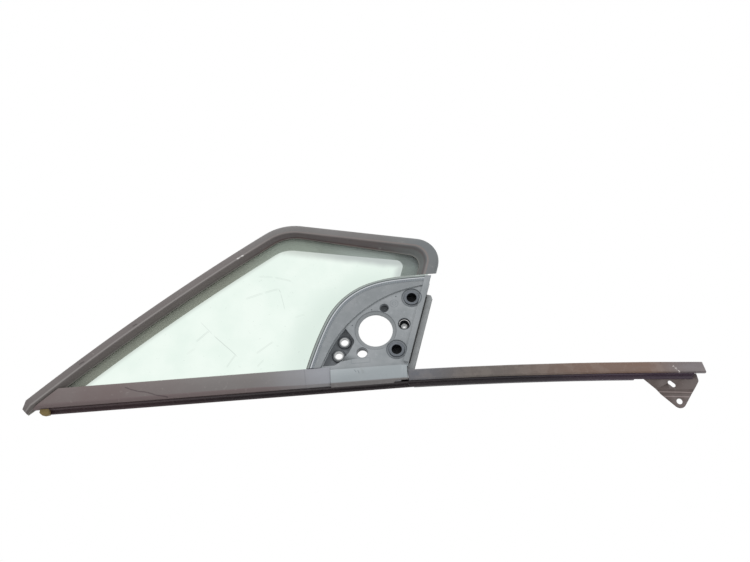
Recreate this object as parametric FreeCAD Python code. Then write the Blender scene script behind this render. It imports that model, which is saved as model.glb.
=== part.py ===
"""Fixed quarter window of a front door: glass, moulded frame, mirror base and belt rail.

Millimetres. X runs along the sill towards the rear of the door, Y points into the car and Z is up.
The origin is the middle of the round hub hole in the mirror base.
"""
import math
import os

import FreeCAD
import Part

os.makedirs("parts", exist_ok=True)
V = FreeCAD.Vector

# Depths, from the outside inwards
GLASS_FRONT = 4.0
GLASS_THICKNESS = 4.0
GLASS_BACK = GLASS_FRONT + GLASS_THICKNESS

# Front frame line: a bowed sloping edge, a top edge and a raked rear edge
SLANT_FOOT = (-536.0, -69.0)
SLANT_HEAD = (-189.0, 171.0)
SLANT_BOW = 6.5
TOP_LEFT = (-91.0, 190.0)
TOP_RIGHT = (75.0, 154.8)
RAKE = math.radians(18.5)
REAR_LINE = 68.2
REAR_END_Z = 87.5

# Frame section, as distances in from the outer edge: slope, top at both ends, rear edge,
# then the radii of the front and the rear corner
FRAME_EDGE = (0.0, 0.0, 0.0, 0.0, 85.0, 38.0)
FRAME_SHOULDER = (2.5, 2.5, 2.5, 2.5, 82.0, 36.0)
CROWN_OUTER = (11.0, 11.0, 11.0, 13.0, 74.0, 29.0)
CROWN_INNER = (14.0, 14.0, 14.5, 16.5, 71.0, 27.0)
SLOPE_HEAD = (16.2, 16.2, 17.0, 19.0, 69.0, 25.0)
SLOPE_FOOT = (22.0, 21.0, 27.5, 27.0, 62.0, 20.0)
LIP_EDGE = (24.5, 23.5, 30.5, 29.5, 60.0, 18.0)
GLASS_EDGE = (12.3, 12.3, 12.3, 12.3, 72.0, 27.0)
REAR_LIP = (38.0, 37.0, 36.0, 52.0, 48.0, 11.0)
REAR_WALL = (10.0, 10.0, 10.0, 11.0, 75.0, 30.0)
FRAME_LEVELS = (-4.2, -3.6, 2.4, 10.5, 13.0)
SILL_CUT = (19.5, 19.5, 19.5, 19.5, 65.0, 20.0)

# Tail of the frame at the front tip
TAIL_LINE = ((-536.0, -69.0), (-522.0, -85.0))
TAIL_END = ((-541.0, -84.0), (-535.0, -94.0))

# Sill: moulding, steel channel and the strip that the glass stands in
SILL_TOP = -54.6
SILL_FACE = -3.4
SILL_LIP_TOP = -79.0
SILL_LOW = -85.2
GLASS_LOW = -70.0
SHEET = 1.5
CHANNEL_FRONT = -0.2
CHANNEL_BACK = 10.0
CHANNEL_TOP = -62.0
CHANNEL_FLOOR = -74.0
CHANNEL_SETBACK = 36.0
CHANNEL_LEFT = SLANT_FOOT[0] + CHANNEL_SETBACK
HEM_RADIUS = 2.2
HEM_Z = -89.2
SILL_RIGHT = 35.0
HEM_RIGHT = 50.5

# Mirror base
BASE_ARC = ((-124.7, -100.0), (-109.0, -57.0), (-87.0, -2.0), (-50.0, 54.0), (0.0, 80.8), (45.0, 86.6),
            (130.0, 86.0))
GROOVE_LINE = ((-112.0, -100.0), (-89.0, -57.0), (-58.0, -3.0), (-14.0, 37.0), (28.0, 59.0), (79.0, 70.0),
               (130.0, 75.0))
ARC_TOLERANCE = 0.3
GLASS_INSET = 9.5
BAND_FRONT = -3.0
PLATE_FRONT = -1.5
PLATE_BACK = 1.5
BASE_LOW = -62.0
BASE_TOP = 120.0
BASE_RIGHT = 62.0
BASE_DEPTH = 11.5
WALL = 2.0
HUB_RADIUS = 26.5
HUB_RING = 32.0
BUSH_CENTRES = {"mirror_bush_upper": (60.0, 50.0), "mirror_bush_lower": (30.0, -34.0)}
BUSH_BORE = 8.0
BUSH_BODY = 10.4
BUSH_FLANGE = 11.8
BUSH_SEAT = 15.3
INSERT_CENTRE = (45.0, 7.0)
INSERT_BORE = 2.55
INSERT_BODY = 4.6
CONE_MOUTH = 9.3
CONE_FOOT = 9.0
INSERT_BACK = 16.0
SLEEVE_CENTRES = {"fixing_sleeve_upper": (-49.0, -14.0), "fixing_sleeve_lower": (-59.0, -35.5)}
SLEEVE_BORE = 5.6
SLEEVE_BODY = 7.4
SLEEVE_BOSS = 10.0
POCKET_FLOOR = 6.5
BLIND_CENTRE = (16.0, 36.0)
BLIND_RADIUS = 6.6
DRAIN_CENTRE = (-23.0, -35.0)
DRAIN_RADIUS = 8.0
SKIRT_LEFT = -73.0
SKIRT_FACE = -5.0
SKIRT_DROP = 1.4
SKIRT_RIGHT = 43.4

# Guide channel for the drop glass, along the raked rear edge of the base
GUIDE_FRONT = 4.0
GUIDE_WIDTH = 10.0
GUIDE_DEPTH = 14.0
GUIDE_FOOT = -50.0
GUIDE_HEAD = 80.0

# Belt line behind the base: a shallow bow inwards and down, after a small kink
BELT_START = 44.5
BELT_REF = (0.0, -68.0)
BELT_RADIUS = 5300.0
BELT_LEAN = math.radians(24.5)
BELT_KINK = 1.3
STRIP_FACE = -4.0
STRIP_HEIGHT = 16.8
RAIL_FRONT = 8.5
RAIL_LOW = -91.3
STRIP_END = 493.0
RAIL_END = 478.0

# End bracket
BRACKET_OUTLINE = ((394.0, -80.0, 0.0), (394.0, -97.0, 6.0), (450.0, -157.0, 10.0), (484.0, -112.0, 8.0),
                   (480.0, -80.0, 0.0))
BRACKET_SLOT = (441.5, -114.0)
BRACKET_HOLE = (449.0, -141.0)
BRACKET_HOLE_RADIUS = 4.6
SLOT_HALF_WIDTH = 3.4
SLOT_LENGTH = 13.0

# Limits of the trimming solids, well beyond every piece
FAR_LEFT = -900.0
FAR_RIGHT = 700.0
FAR_BELOW = -200.0
FAR_ABOVE = 300.0
OUTSIDE = -30.0
INSIDE = 90.0


def save(name, shape):
    """Writes one node after a check that it is sound."""
    shape = shape.removeSplitter()
    if not shape.isValid():
        raise ValueError(name + " is not a valid shape")
    print(name, len(shape.Solids), "solids", round(shape.Volume / 1000.0, 2), "cm3")
    shape.exportStep("parts/" + name + ".step")


def fuse(shapes):
    """One shape from several."""
    return shapes[0].multiFuse(shapes[1:])


def block(x0, x1, y0, y1, z0, z1):
    """Box between six planes."""
    return Part.makeBox(x1 - x0, y1 - y0, z1 - z0, V(x0, y0, z0))


def disc(centre, radius, y0, y1):
    """Round solid across the depth."""
    return Part.makeCylinder(radius, y1 - y0, V(centre[0], y0, centre[1]), V(0, 1, 0))


def cone(centre, r0, r1, y0, y1):
    """Cone across the depth."""
    return Part.makeCone(r0, r1, y1 - y0, V(centre[0], y0, centre[1]), V(0, 1, 0))


def tube(centre, outer, inner, y0, y1):
    """Round wall across the depth."""
    return disc(centre, outer, y0, y1).cut(disc(centre, inner, y0 - 1, y1 + 1))


def rounded_wire(corners, y):
    """Closed wire in a plane of one depth, from corners of x, z and radius."""
    points = [V(x, y, z) for x, z, _ in corners]
    count = len(points)
    ends = []
    for i, corner in enumerate(corners):
        here = points[i]
        back = (points[i - 1] - here).normalize()
        ahead = (points[(i + 1) % count] - here).normalize()
        radius = corner[2]
        if radius == 0:
            ends.append((here, None, here))
            continue
        half = back.getAngle(ahead) / 2.0
        reach = radius / math.tan(half)
        centre = here + (back + ahead).normalize() * (radius / math.sin(half))
        middle = centre + (here - centre).normalize() * radius
        ends.append((here + back * reach, middle, here + ahead * reach))
    edges = []
    for i in range(count):
        start, middle, end = ends[i]
        if middle:
            edges.append(Part.Arc(start, middle, end).toShape())
        edges.append(Part.LineSegment(end, ends[(i + 1) % count][0]).toShape())
    return Part.Wire(edges)


def plate(corners, y0, y1):
    """Flat solid from corners of x, z and radius."""
    return Part.Face(rounded_wire(corners, y0)).extrude(V(0, y1 - y0, 0))


def sharp_plate(points, y0, y1):
    """Flat solid from corners of x and z."""
    return plate([(x, z, 0.0) for x, z in points], y0, y1)


def section(points, x):
    """Face across the belt line, from corners of y and z."""
    corners = [V(x, y, z) for y, z in points]
    return Part.Face(Part.makePolygon(corners + corners[:1]))


def rail(points, x0, x1):
    """Straight bar along the sill."""
    return section(points, x0).extrude(V(x1 - x0, 0, 0))


def raked(s, t):
    """Point from its distances across and up the raked rear edge."""
    return (s * math.cos(RAKE) + t * math.sin(RAKE), t * math.cos(RAKE) - s * math.sin(RAKE))


def raked_plate(corners, y0, y1):
    """Flat solid whose corners are given across and up the raked edge."""
    return plate([raked(s, t) + (r,) for s, t, r in corners], y0, y1)


def slant_circle():
    """Centre and radius of the bowed sloping edge."""
    dx = SLANT_HEAD[0] - SLANT_FOOT[0]
    dz = SLANT_HEAD[1] - SLANT_FOOT[1]
    chord = math.hypot(dx, dz)
    radius = chord ** 2 / (8 * SLANT_BOW) + SLANT_BOW / 2
    middle = ((SLANT_FOOT[0] + SLANT_HEAD[0]) / 2, (SLANT_FOOT[1] + SLANT_HEAD[1]) / 2)
    reach = radius - SLANT_BOW
    return (middle[0] + dz / chord * reach, middle[1] - dx / chord * reach), radius


def line_foot(point, start, direction):
    """Nearest point of a line."""
    along = (point[0] - start[0]) * direction[0] + (point[1] - start[1]) * direction[1]
    return (start[0] + direction[0] * along, start[1] + direction[1] * along)


def frame_wire(insets, y, low=-130.0):
    """Outline of the window set in from the frame's outer edge, closed along a low line."""
    n_slope, n_top_a, n_top_b, n_rear, r_front, r_rear = insets
    (cx, cz), big = slant_circle()
    big = big - n_slope
    slope = math.atan2(TOP_RIGHT[1] - TOP_LEFT[1], TOP_RIGHT[0] - TOP_LEFT[0])
    inward = (math.sin(slope), -math.cos(slope))
    a = (TOP_LEFT[0] + inward[0] * n_top_a, TOP_LEFT[1] + inward[1] * n_top_a)
    b = (TOP_RIGHT[0] + inward[0] * n_top_b, TOP_RIGHT[1] + inward[1] * n_top_b)
    length = math.hypot(b[0] - a[0], b[1] - a[1])
    top = ((b[0] - a[0]) / length, (b[1] - a[1]) / length)
    down = (top[1], -top[0])
    # Front corner: tangent to the bowed edge and to the top edge
    start = (a[0] + down[0] * r_front, a[1] + down[1] * r_front)
    px, pz = start[0] - cx, start[1] - cz
    half = px * top[0] + pz * top[1]
    gap = px ** 2 + pz ** 2 - (big - r_front) ** 2
    along = -half + math.sqrt(half ** 2 - gap)
    if start[0] + top[0] * along > 0:
        along = -half - math.sqrt(half ** 2 - gap)
    front = (start[0] + top[0] * along, start[1] + top[1] * along)
    reach = math.hypot(front[0] - cx, front[1] - cz)
    on_slope = (cx + (front[0] - cx) / reach * big, cz + (front[1] - cz) / reach * big)
    on_top_a = line_foot(front, a, top)
    # Rear corner: tangent to the top edge and to the raked edge
    rear_s = REAR_LINE - n_rear
    foot = raked(rear_s, 0.0)
    up = (math.sin(RAKE), math.cos(RAKE))
    centre_line = raked(rear_s - r_rear, 0.0)
    lifted = (a[0] + down[0] * r_rear, a[1] + down[1] * r_rear)
    cross = up[0] * top[1] - up[1] * top[0]
    step = ((lifted[0] - centre_line[0]) * top[1] - (lifted[1] - centre_line[1]) * top[0]) / cross
    rear = (centre_line[0] + up[0] * step, centre_line[1] + up[1] * step)
    on_top_b = line_foot(rear, a, top)
    on_rear = line_foot(rear, foot, up)
    rear_low = raked(rear_s, 0.0)
    drop = (rear_low[1] - low) / up[1]
    rear_low = (rear_low[0] - up[0] * drop, low)
    slope_low = (cx - math.sqrt(big ** 2 - (low - cz) ** 2), low)

    def bulge(p, q, centre, radius):
        mx, mz = (p[0] + q[0]) / 2 - centre[0], (p[1] + q[1]) / 2 - centre[1]
        size = math.hypot(mx, mz)
        return (centre[0] + mx / size * radius, centre[1] + mz / size * radius)

    def p3(p):
        return V(p[0], y, p[1])

    return Part.Wire([
        Part.Arc(p3(slope_low), p3(bulge(slope_low, on_slope, (cx, cz), big)), p3(on_slope)).toShape(),
        Part.Arc(p3(on_slope), p3(bulge(on_slope, on_top_a, front, r_front)), p3(on_top_a)).toShape(),
        Part.LineSegment(p3(on_top_a), p3(on_top_b)).toShape(),
        Part.Arc(p3(on_top_b), p3(bulge(on_top_b, on_rear, rear, r_rear)), p3(on_rear)).toShape(),
        Part.LineSegment(p3(on_rear), p3(rear_low)).toShape(),
        Part.LineSegment(p3(rear_low), p3(slope_low)).toShape(),
    ])


def frame_solid(insets_a, y_a, insets_b, y_b, low=-130.0):
    """Solid between two outlines of the window at two depths."""
    if insets_a == insets_b:
        return Part.Face(frame_wire(insets_a, y_a, low)).extrude(V(0, y_b - y_a, 0))
    return Part.makeLoft([frame_wire(insets_a, y_a, low), frame_wire(insets_b, y_b, low)], True, True)


def frame_layer(outer_a, inner_a, y_a, outer_b, inner_b, y_b):
    """One layer of the frame moulding between two depths."""
    return frame_solid(outer_a, y_a, outer_b, y_b).cut(frame_solid(inner_a, y_a, inner_b, y_b, -140.0))


def window_prism(insets, y0, y1):
    """Everything inside an outline of the window, between two depths."""
    return frame_solid(insets, y0, insets, y1, -150.0)


def front_waste():
    """Everything in front of the line where the sill pieces meet the frame's sloping edge."""
    return block(FAR_LEFT, SLANT_HEAD[0], OUTSIDE, INSIDE, FAR_BELOW, 0.0).cut(window_prism(SILL_CUT, OUTSIDE, INSIDE))


def curve_arcs(points, inset, y):
    """Chain of tangent arcs along a smooth line through a few points, all moved in by one distance."""
    line = Part.BSplineCurve()
    line.interpolate([V(x, 0, z) for x, z in points])
    arcs = []
    for arc in line.toBiArcs(ARC_TOLERANCE):
        first, last = arc.FirstParameter, arc.LastParameter
        marks = [arc.value(first), arc.value((first + last) / 2), arc.value(last)]
        ahead = marks[2] - marks[0]
        inward = V(ahead.z, 0, -ahead.x)
        side = -inset if inward.dot(arc.Center - marks[1]) > 0 else inset
        moved = []
        for mark in marks:
            out = (mark - arc.Center).normalize()
            place = arc.Center + out * (arc.Radius + side)
            moved.append(V(place.x, y, place.z))
        arcs.append(moved)
    return arcs


def curve_region(points, inset, y0, y1):
    """Solid of everything below and behind a smooth edge of the mirror base."""
    arcs = curve_arcs(points, inset, y0)
    start = arcs[0][0]
    end = arcs[-1][2]
    corner = V(end.x, y0, start.z)
    edges = [Part.Arc(*marks).toShape() for marks in arcs]
    edges.append(Part.LineSegment(end, corner).toShape())
    edges.append(Part.LineSegment(corner, start).toShape())
    return Part.Face(Part.Wire(edges)).extrude(V(0, y1 - y0, 0))


def base_limit(right, low, y0, y1):
    """Everything in front of the raked edge and above the sill."""
    drop = (low + right * math.sin(RAKE)) / math.cos(RAKE)
    rise = (BASE_TOP + right * math.sin(RAKE)) / math.cos(RAKE)
    return sharp_plate([(FAR_LEFT, low), raked(right, drop), raked(right, rise), (FAR_LEFT, BASE_TOP)], y0, y1)


def arc_region(inset, y0, y1, right=BASE_RIGHT, low=BASE_LOW):
    """The mirror base's outline, set in from its rounded edge."""
    return curve_region(BASE_ARC, inset, y0, y1).common(base_limit(right, low, y0, y1))


def groove_region(inset, y0, y1, right=BASE_RIGHT, low=BASE_LOW):
    """The inner plate of the mirror base, set in from the groove round it."""
    return curve_region(GROOVE_LINE, inset, y0, y1).common(base_limit(right, low, y0, y1))


def glass_frame_seal():
    """Moulded frame round the sloping, top and rear edges, with a crown, a slope and a lip on the glass."""
    y_crown, y_face, y_slope, y_lip, y_wall = FRAME_LEVELS
    body = fuse([
        frame_layer(CROWN_OUTER, CROWN_INNER, y_crown, FRAME_SHOULDER, SLOPE_HEAD, y_face),
        frame_layer(FRAME_SHOULDER, SLOPE_HEAD, y_face, FRAME_EDGE, SLOPE_FOOT, y_slope),
        frame_layer(FRAME_EDGE, LIP_EDGE, y_slope, FRAME_EDGE, LIP_EDGE, GLASS_FRONT),
        frame_layer(FRAME_EDGE, GLASS_EDGE, GLASS_FRONT, FRAME_EDGE, GLASS_EDGE, GLASS_BACK),
        frame_layer(FRAME_EDGE, REAR_LIP, GLASS_BACK, FRAME_EDGE, REAR_LIP, y_lip),
        frame_layer(FRAME_EDGE, REAR_WALL, y_lip, FRAME_SHOULDER, REAR_WALL, y_wall),
    ])
    below_sill = block(FAR_LEFT, FAR_RIGHT, OUTSIDE, INSIDE, FAR_BELOW, SILL_TOP)
    body = body.cut(window_prism(SILL_CUT, OUTSIDE, INSIDE).common(below_sill))
    end = [(OUTSIDE, REAR_END_Z - 4.0), (-4.0, REAR_END_Z), (40.0, REAR_END_Z + 20.0), (INSIDE, REAR_END_Z + 20.0),
           (INSIDE, FAR_BELOW), (OUTSIDE, FAR_BELOW)]
    body = body.cut(rail(end, TOP_LEFT[0], FAR_RIGHT))
    (x0, z0), (x1, z1) = TAIL_LINE
    dx, dz = x1 - x0, z1 - z0
    beyond = [(x0 - 3 * dx, z0 - 3 * dz), (x1 + 3 * dx, z1 + 3 * dz),
              (x1 + 3 * dx + 8 * dz, z1 + 3 * dz - 8 * dx), (x0 - 3 * dx + 8 * dz, z0 - 3 * dz - 8 * dx)]
    body = body.cut(sharp_plate(beyond, OUTSIDE, INSIDE))
    # Turned end: the strip's end runs out to a smaller, slanting facet
    near = [V(x0, y_face, z0), V(x1, y_face, z1), V(x1, y_wall, z1), V(x0, y_wall, z0), V(x0, y_face, z0)]
    (x2, z2), (x3, z3) = TAIL_END
    far = [V(x2, 0.5, z2), V(x3, 0.5, z3), V(x3, 9.0, z3), V(x2, 9.0, z2), V(x2, 0.5, z2)]
    cap = Part.makeLoft([Part.makePolygon(near), Part.makePolygon(far)], True, True)
    return body.fuse(cap.cut(window_prism(SILL_CUT, OUTSIDE, INSIDE)))


def quarter_glass():
    """Flat pane: sloping, top and rear edges in the frame, cut round the mirror base."""
    pane = window_prism(GLASS_EDGE, GLASS_FRONT, GLASS_BACK)
    pane = pane.cut(block(FAR_LEFT, FAR_RIGHT, OUTSIDE, INSIDE, FAR_BELOW, GLASS_LOW))
    pane = pane.cut(curve_region(BASE_ARC, GLASS_INSET, OUTSIDE, INSIDE))
    return pane.cut(block(0.0, FAR_RIGHT, OUTSIDE, INSIDE, FAR_BELOW, BASE_ARC[3][1]))


def moulding_points():
    """Section of the sill moulding."""
    return [(GLASS_FRONT, SILL_TOP), (-1.6, SILL_TOP), (SILL_FACE, SILL_TOP - 1.6), (SILL_FACE, SILL_LIP_TOP),
            (-2.6, -81.5), (-0.6, -84.0), (6.0, SILL_LOW), (6.0, -83.4), (0.2, -82.2), (-1.3, -79.8),
            (-1.4, SILL_TOP - 2.6), (GLASS_FRONT, SILL_TOP - 2.0)]


def sill_moulding():
    """Face strip under the glass, cut off along the frame at its front end."""
    body = rail(moulding_points(), SLANT_FOOT[0] - 24.0, SILL_RIGHT - 2.2).cut(front_waste())
    return body.cut(block(SKIRT_LEFT - 0.5, FAR_RIGHT, OUTSIDE, INSIDE, BASE_LOW, FAR_ABOVE))


def sill_channel():
    """Folded steel channel under the glass, with a flange for the moulding and a rolled hem."""
    front, back = CHANNEL_FRONT, CHANNEL_BACK
    flange = SILL_LOW - SHEET
    upper = [(front, CHANNEL_TOP), (front + SHEET, CHANNEL_TOP), (front + SHEET, CHANNEL_FLOOR),
             (back, CHANNEL_FLOOR), (back, CHANNEL_TOP), (back + SHEET, CHANNEL_TOP),
             (back + SHEET, HEM_Z), (back, HEM_Z), (back, flange), (1.0, flange), (1.0, SILL_LOW),
             (back, SILL_LOW), (back, CHANNEL_FLOOR - SHEET), (front, CHANNEL_FLOOR - SHEET)]
    body = rail(upper, CHANNEL_LEFT, BELT_START - 2.0)
    tail = rail([(back, HEM_Z + 1.5), (back + SHEET, HEM_Z + 1.5), (back + SHEET, HEM_Z), (back, HEM_Z)],
                BELT_START - 3.0, HEM_RIGHT)
    start = V(CHANNEL_LEFT, back + HEM_RADIUS, HEM_Z)
    length = HEM_RIGHT - CHANNEL_LEFT
    hem = Part.makeCylinder(HEM_RADIUS, length, start, V(1, 0, 0))
    hem = hem.cut(Part.makeCylinder(HEM_RADIUS - SHEET, length + 2, start - V(1, 0, 0), V(1, 0, 0)))
    body = fuse([body, tail, hem])
    return body.cut(front_waste())


def glass_setting_strip():
    """Rubber strip that the lower edge of the glass stands in."""
    inner = CHANNEL_FRONT + SHEET
    points = [(inner, CHANNEL_TOP + 1.0), (GLASS_FRONT, CHANNEL_TOP + 1.0), (GLASS_FRONT, GLASS_LOW),
              (GLASS_BACK, GLASS_LOW), (GLASS_BACK, CHANNEL_TOP + 1.0), (CHANNEL_BACK, CHANNEL_TOP + 1.0),
              (CHANNEL_BACK, CHANNEL_FLOOR), (inner, CHANNEL_FLOOR)]
    body = rail(points, CHANNEL_LEFT, BASE_ARC[3][0]).cut(front_waste())
    return body.cut(curve_region(BASE_ARC, GLASS_INSET, OUTSIDE, INSIDE))


def rail_end_foam():
    """Foam block that closes the front end of the channel."""
    right = CHANNEL_LEFT
    low = HEM_Z - 3.3
    corners = [(right - 13.0, SILL_LOW), (right - 14.0, low + 2.5), (right - 12.5, low + 0.5), (right - 7.0, low - 1.0),
               (right, low), (right, SILL_LOW)]
    return sharp_plate(corners, SHEET, CHANNEL_BACK + 2.0)


def pocket_corners(grow):
    """Outline of the sunk pocket for the two fixing sleeves."""
    return [(-110.0, -52.5 - grow, 0.0), (-66.0, -52.5 - grow, 6.0), (-57.0 + grow, -47.0 - grow, 8.0),
            (-43.0 + grow, -33.0 - grow, 14.0), (-32.5 + grow, -15.0, 9.0), (-46.5 + grow, 8.0 + grow, 3.0),
            (-62.0, 20.0 + grow, 0.0)]


def pocket_floor():
    """Sunk pocket of the mirror base: its walls, floor and the bosses round the sleeves."""
    inside = groove_region(2.0, -8, POCKET_FLOOR).common(plate(pocket_corners(0.0), -8, POCKET_FLOOR))
    outside = groove_region(0.0, PLATE_FRONT, POCKET_FLOOR + WALL)
    outside = outside.common(plate(pocket_corners(WALL), PLATE_FRONT, POCKET_FLOOR + WALL))
    bosses = [disc(centre, SLEEVE_BOSS, POCKET_FLOOR - 2.0, POCKET_FLOOR + WALL)
              for centre in SLEEVE_CENTRES.values()]
    return inside, outside, bosses


def rear_ribs():
    """Thin ribs behind the plate from the hub out to the bosses."""
    ribs = []
    targets = list(BUSH_CENTRES.values()) + [BLIND_CENTRE, INSERT_CENTRE, (-40.0, 10.0)]
    for x, z in targets:
        reach = math.hypot(x, z)
        ux, uz = x / reach, z / reach
        side = 0.9
        near = HUB_RADIUS + 1.0
        ribs.append(sharp_plate([
            (ux * near - uz * side, uz * near + ux * side), (ux * near + uz * side, uz * near - ux * side),
            (x + uz * side, z - ux * side), (x - uz * side, z + ux * side)], PLATE_BACK, 6.0))
    return ribs


def skirt():
    """Fascia of the mirror base that laps over the sill moulding."""
    drop = SKIRT_DROP
    points = [(SKIRT_FACE, BASE_LOW + 1.4), (SILL_FACE, BASE_LOW + 1.4), (SILL_FACE, SILL_LIP_TOP),
              (-2.6, -81.5), (-0.6, -84.0), (-0.6, -85.7 - drop), (-4.1, -82.5 - drop),
              (SKIRT_FACE, SILL_LIP_TOP - 0.4 - drop)]
    body = rail(points, SKIRT_LEFT, SILL_RIGHT)
    left = SILL_RIGHT - 16.0
    foot = SILL_LIP_TOP - 4.2
    slanted = sharp_plate([(left, foot - 5.0), (left + 7.0, foot), (FAR_RIGHT, foot), (FAR_RIGHT, FAR_BELOW),
                           (left, FAR_BELOW)], OUTSIDE, INSIDE)
    shelf = block(SKIRT_LEFT, SILL_RIGHT, SKIRT_FACE, BASE_DEPTH, BASE_LOW, BASE_LOW + WALL)
    end = SILL_RIGHT - 1.8
    corners = [V(end, SKIRT_FACE, foot), V(SILL_RIGHT + 1.2, SKIRT_FACE - 0.5, foot),
               V(SKIRT_RIGHT - 2.0, SKIRT_FACE + 0.8, foot), V(SKIRT_RIGHT, SKIRT_FACE + 2.0, foot),
               V(SKIRT_RIGHT, -0.4, foot), V(end, -0.4, foot)]
    turned = Part.Face(Part.makePolygon(corners + corners[:1])).extrude(V(0, 0, BASE_LOW + 1.4 - foot))
    return fuse([body.cut(slanted), shelf, turned])


def mirror_base():
    """Moulded base of the door mirror: rounded rim, band, sunk plate, bosses, pocket and skirt."""
    band = arc_region(0.0, BAND_FRONT, -0.5, low=SILL_TOP)
    band = band.cut(groove_region(0.0, BAND_FRONT - 1, PLATE_FRONT))
    inner = groove_region(-2.0, PLATE_FRONT, PLATE_BACK)
    groove = groove_region(0.0, BAND_FRONT - 1, -0.6).cut(groove_region(1.3, BAND_FRONT - 2, 1.0))
    rim = arc_region(0.0, -0.5, 2.0, low=SILL_TOP).cut(arc_region(2.2, -1.0, 3.0, right=90.0, low=-70.0))
    bead = arc_region(6.6, BAND_FRONT - 0.7, BAND_FRONT, low=SILL_TOP)
    bead = bead.cut(arc_region(9.2, BAND_FRONT - 2, 0, right=90.0, low=-70.0))
    wall = arc_region(10.5, -0.5, 10.0, low=SILL_TOP).cut(arc_region(12.7, -1.0, 11.0, right=90.0, low=-70.0))
    ridge = raked_plate([(54.0, -39.0, 0.0), (BASE_RIGHT, -39.0, 0.0), (BASE_RIGHT, 104.0, 0.0),
                         (53.0, 104.0, 0.0)], -4.8, PLATE_BACK)
    above = block(0.0, FAR_RIGHT, OUTSIDE, INSIDE, REAR_END_Z - 1.0, FAR_ABOVE)
    ridge = ridge.cut(above)
    side = raked_plate([(BASE_RIGHT - WALL, -44.0, 0.0), (BASE_RIGHT, -44.0, 0.0), (BASE_RIGHT, 100.0, 0.0),
                        (BASE_RIGHT - WALL, 100.0, 0.0)], PLATE_FRONT, BASE_DEPTH)
    side = side.common(base_limit(BASE_RIGHT, BASE_LOW, OUTSIDE, INSIDE)).cut(above)
    inside, outside, bosses = pocket_floor()
    hub = tube((0, 0), HUB_RADIUS + WALL, HUB_RADIUS, PLATE_BACK, PLATE_BACK + 1.0)
    bushes = [disc(centre, BUSH_BODY + WALL, PLATE_BACK, BASE_DEPTH) for centre in BUSH_CENTRES.values()]
    backs = [disc(BLIND_CENTRE, BLIND_RADIUS + WALL, PLATE_BACK, 9.5),
              disc(INSERT_CENTRE, INSERT_BODY + 3.2, PLATE_BACK, INSERT_BACK)]
    body = fuse([band, inner, rim, bead, wall, ridge, side, outside, hub] + bushes + backs + rear_ribs())
    body = body.cut(groove.cut(ridge)).cut(inside)
    body = fuse([body] + bosses)
    cuts = [disc((0, 0), HUB_RADIUS, OUTSIDE, INSIDE), disc((0, 0), HUB_RING, OUTSIDE, PLATE_FRONT + 0.8),
            disc(BLIND_CENTRE, BLIND_RADIUS, OUTSIDE, 7.5), disc(DRAIN_CENTRE, DRAIN_RADIUS, OUTSIDE, INSIDE),
            cone(INSERT_CENTRE, CONE_MOUTH, INSERT_BODY, PLATE_FRONT - 0.01, CONE_FOOT),
            disc(INSERT_CENTRE, INSERT_BODY, CONE_FOOT - 0.1, INSIDE)]
    for centre in BUSH_CENTRES.values():
        cuts.append(disc(centre, BUSH_SEAT, OUTSIDE, PLATE_FRONT + 0.9).cut(ridge))
        cuts.append(disc(centre, BUSH_BODY, OUTSIDE, INSIDE))
    for centre in SLEEVE_CENTRES.values():
        cuts.append(disc(centre, SLEEVE_BODY, OUTSIDE, INSIDE))
    cuts.append(block(FAR_LEFT, SKIRT_LEFT - 0.5, OUTSIDE, INSIDE, FAR_BELOW, SILL_TOP))
    for cutter in cuts:
        body = body.cut(cutter)
    return fuse([body, skirt()])


def mirror_base_gasket():
    """Rubber lip between the rim of the mirror base and the glass."""
    band = curve_region(BASE_ARC, -1.6, 2.0, GLASS_FRONT)
    band = band.cut(curve_region(BASE_ARC, 5.0, 1.0, GLASS_FRONT + 1))
    bead = curve_region(BASE_ARC, -1.6, -1.0, 2.0).cut(curve_region(BASE_ARC, -0.1, -2.0, 3.0))
    body = band.fuse(bead)
    return body.common(base_limit(37.5, SILL_TOP, OUTSIDE, INSIDE))


def mirror_bush(centre):
    """Flanged cup that takes a peg of the mirror."""
    body = fuse([disc(centre, BUSH_FLANGE, PLATE_FRONT - 0.7, PLATE_FRONT + 0.9),
                 disc(centre, BUSH_BODY, PLATE_FRONT, BASE_DEPTH + 2.0)])
    return body.cut(disc(centre, BUSH_BORE, OUTSIDE, BASE_DEPTH))


def mirror_insert():
    """Threaded insert at the foot of the conical recess."""
    return tube(INSERT_CENTRE, INSERT_BODY, INSERT_BORE, CONE_FOOT, INSERT_BACK)


def fixing_sleeve(centre):
    """Steel sleeve for a fixing screw, in its boss on the floor of the pocket."""
    return tube(centre, SLEEVE_BODY, SLEEVE_BORE, POCKET_FLOOR - 2.6, POCKET_FLOOR + WALL + 0.6)


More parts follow.
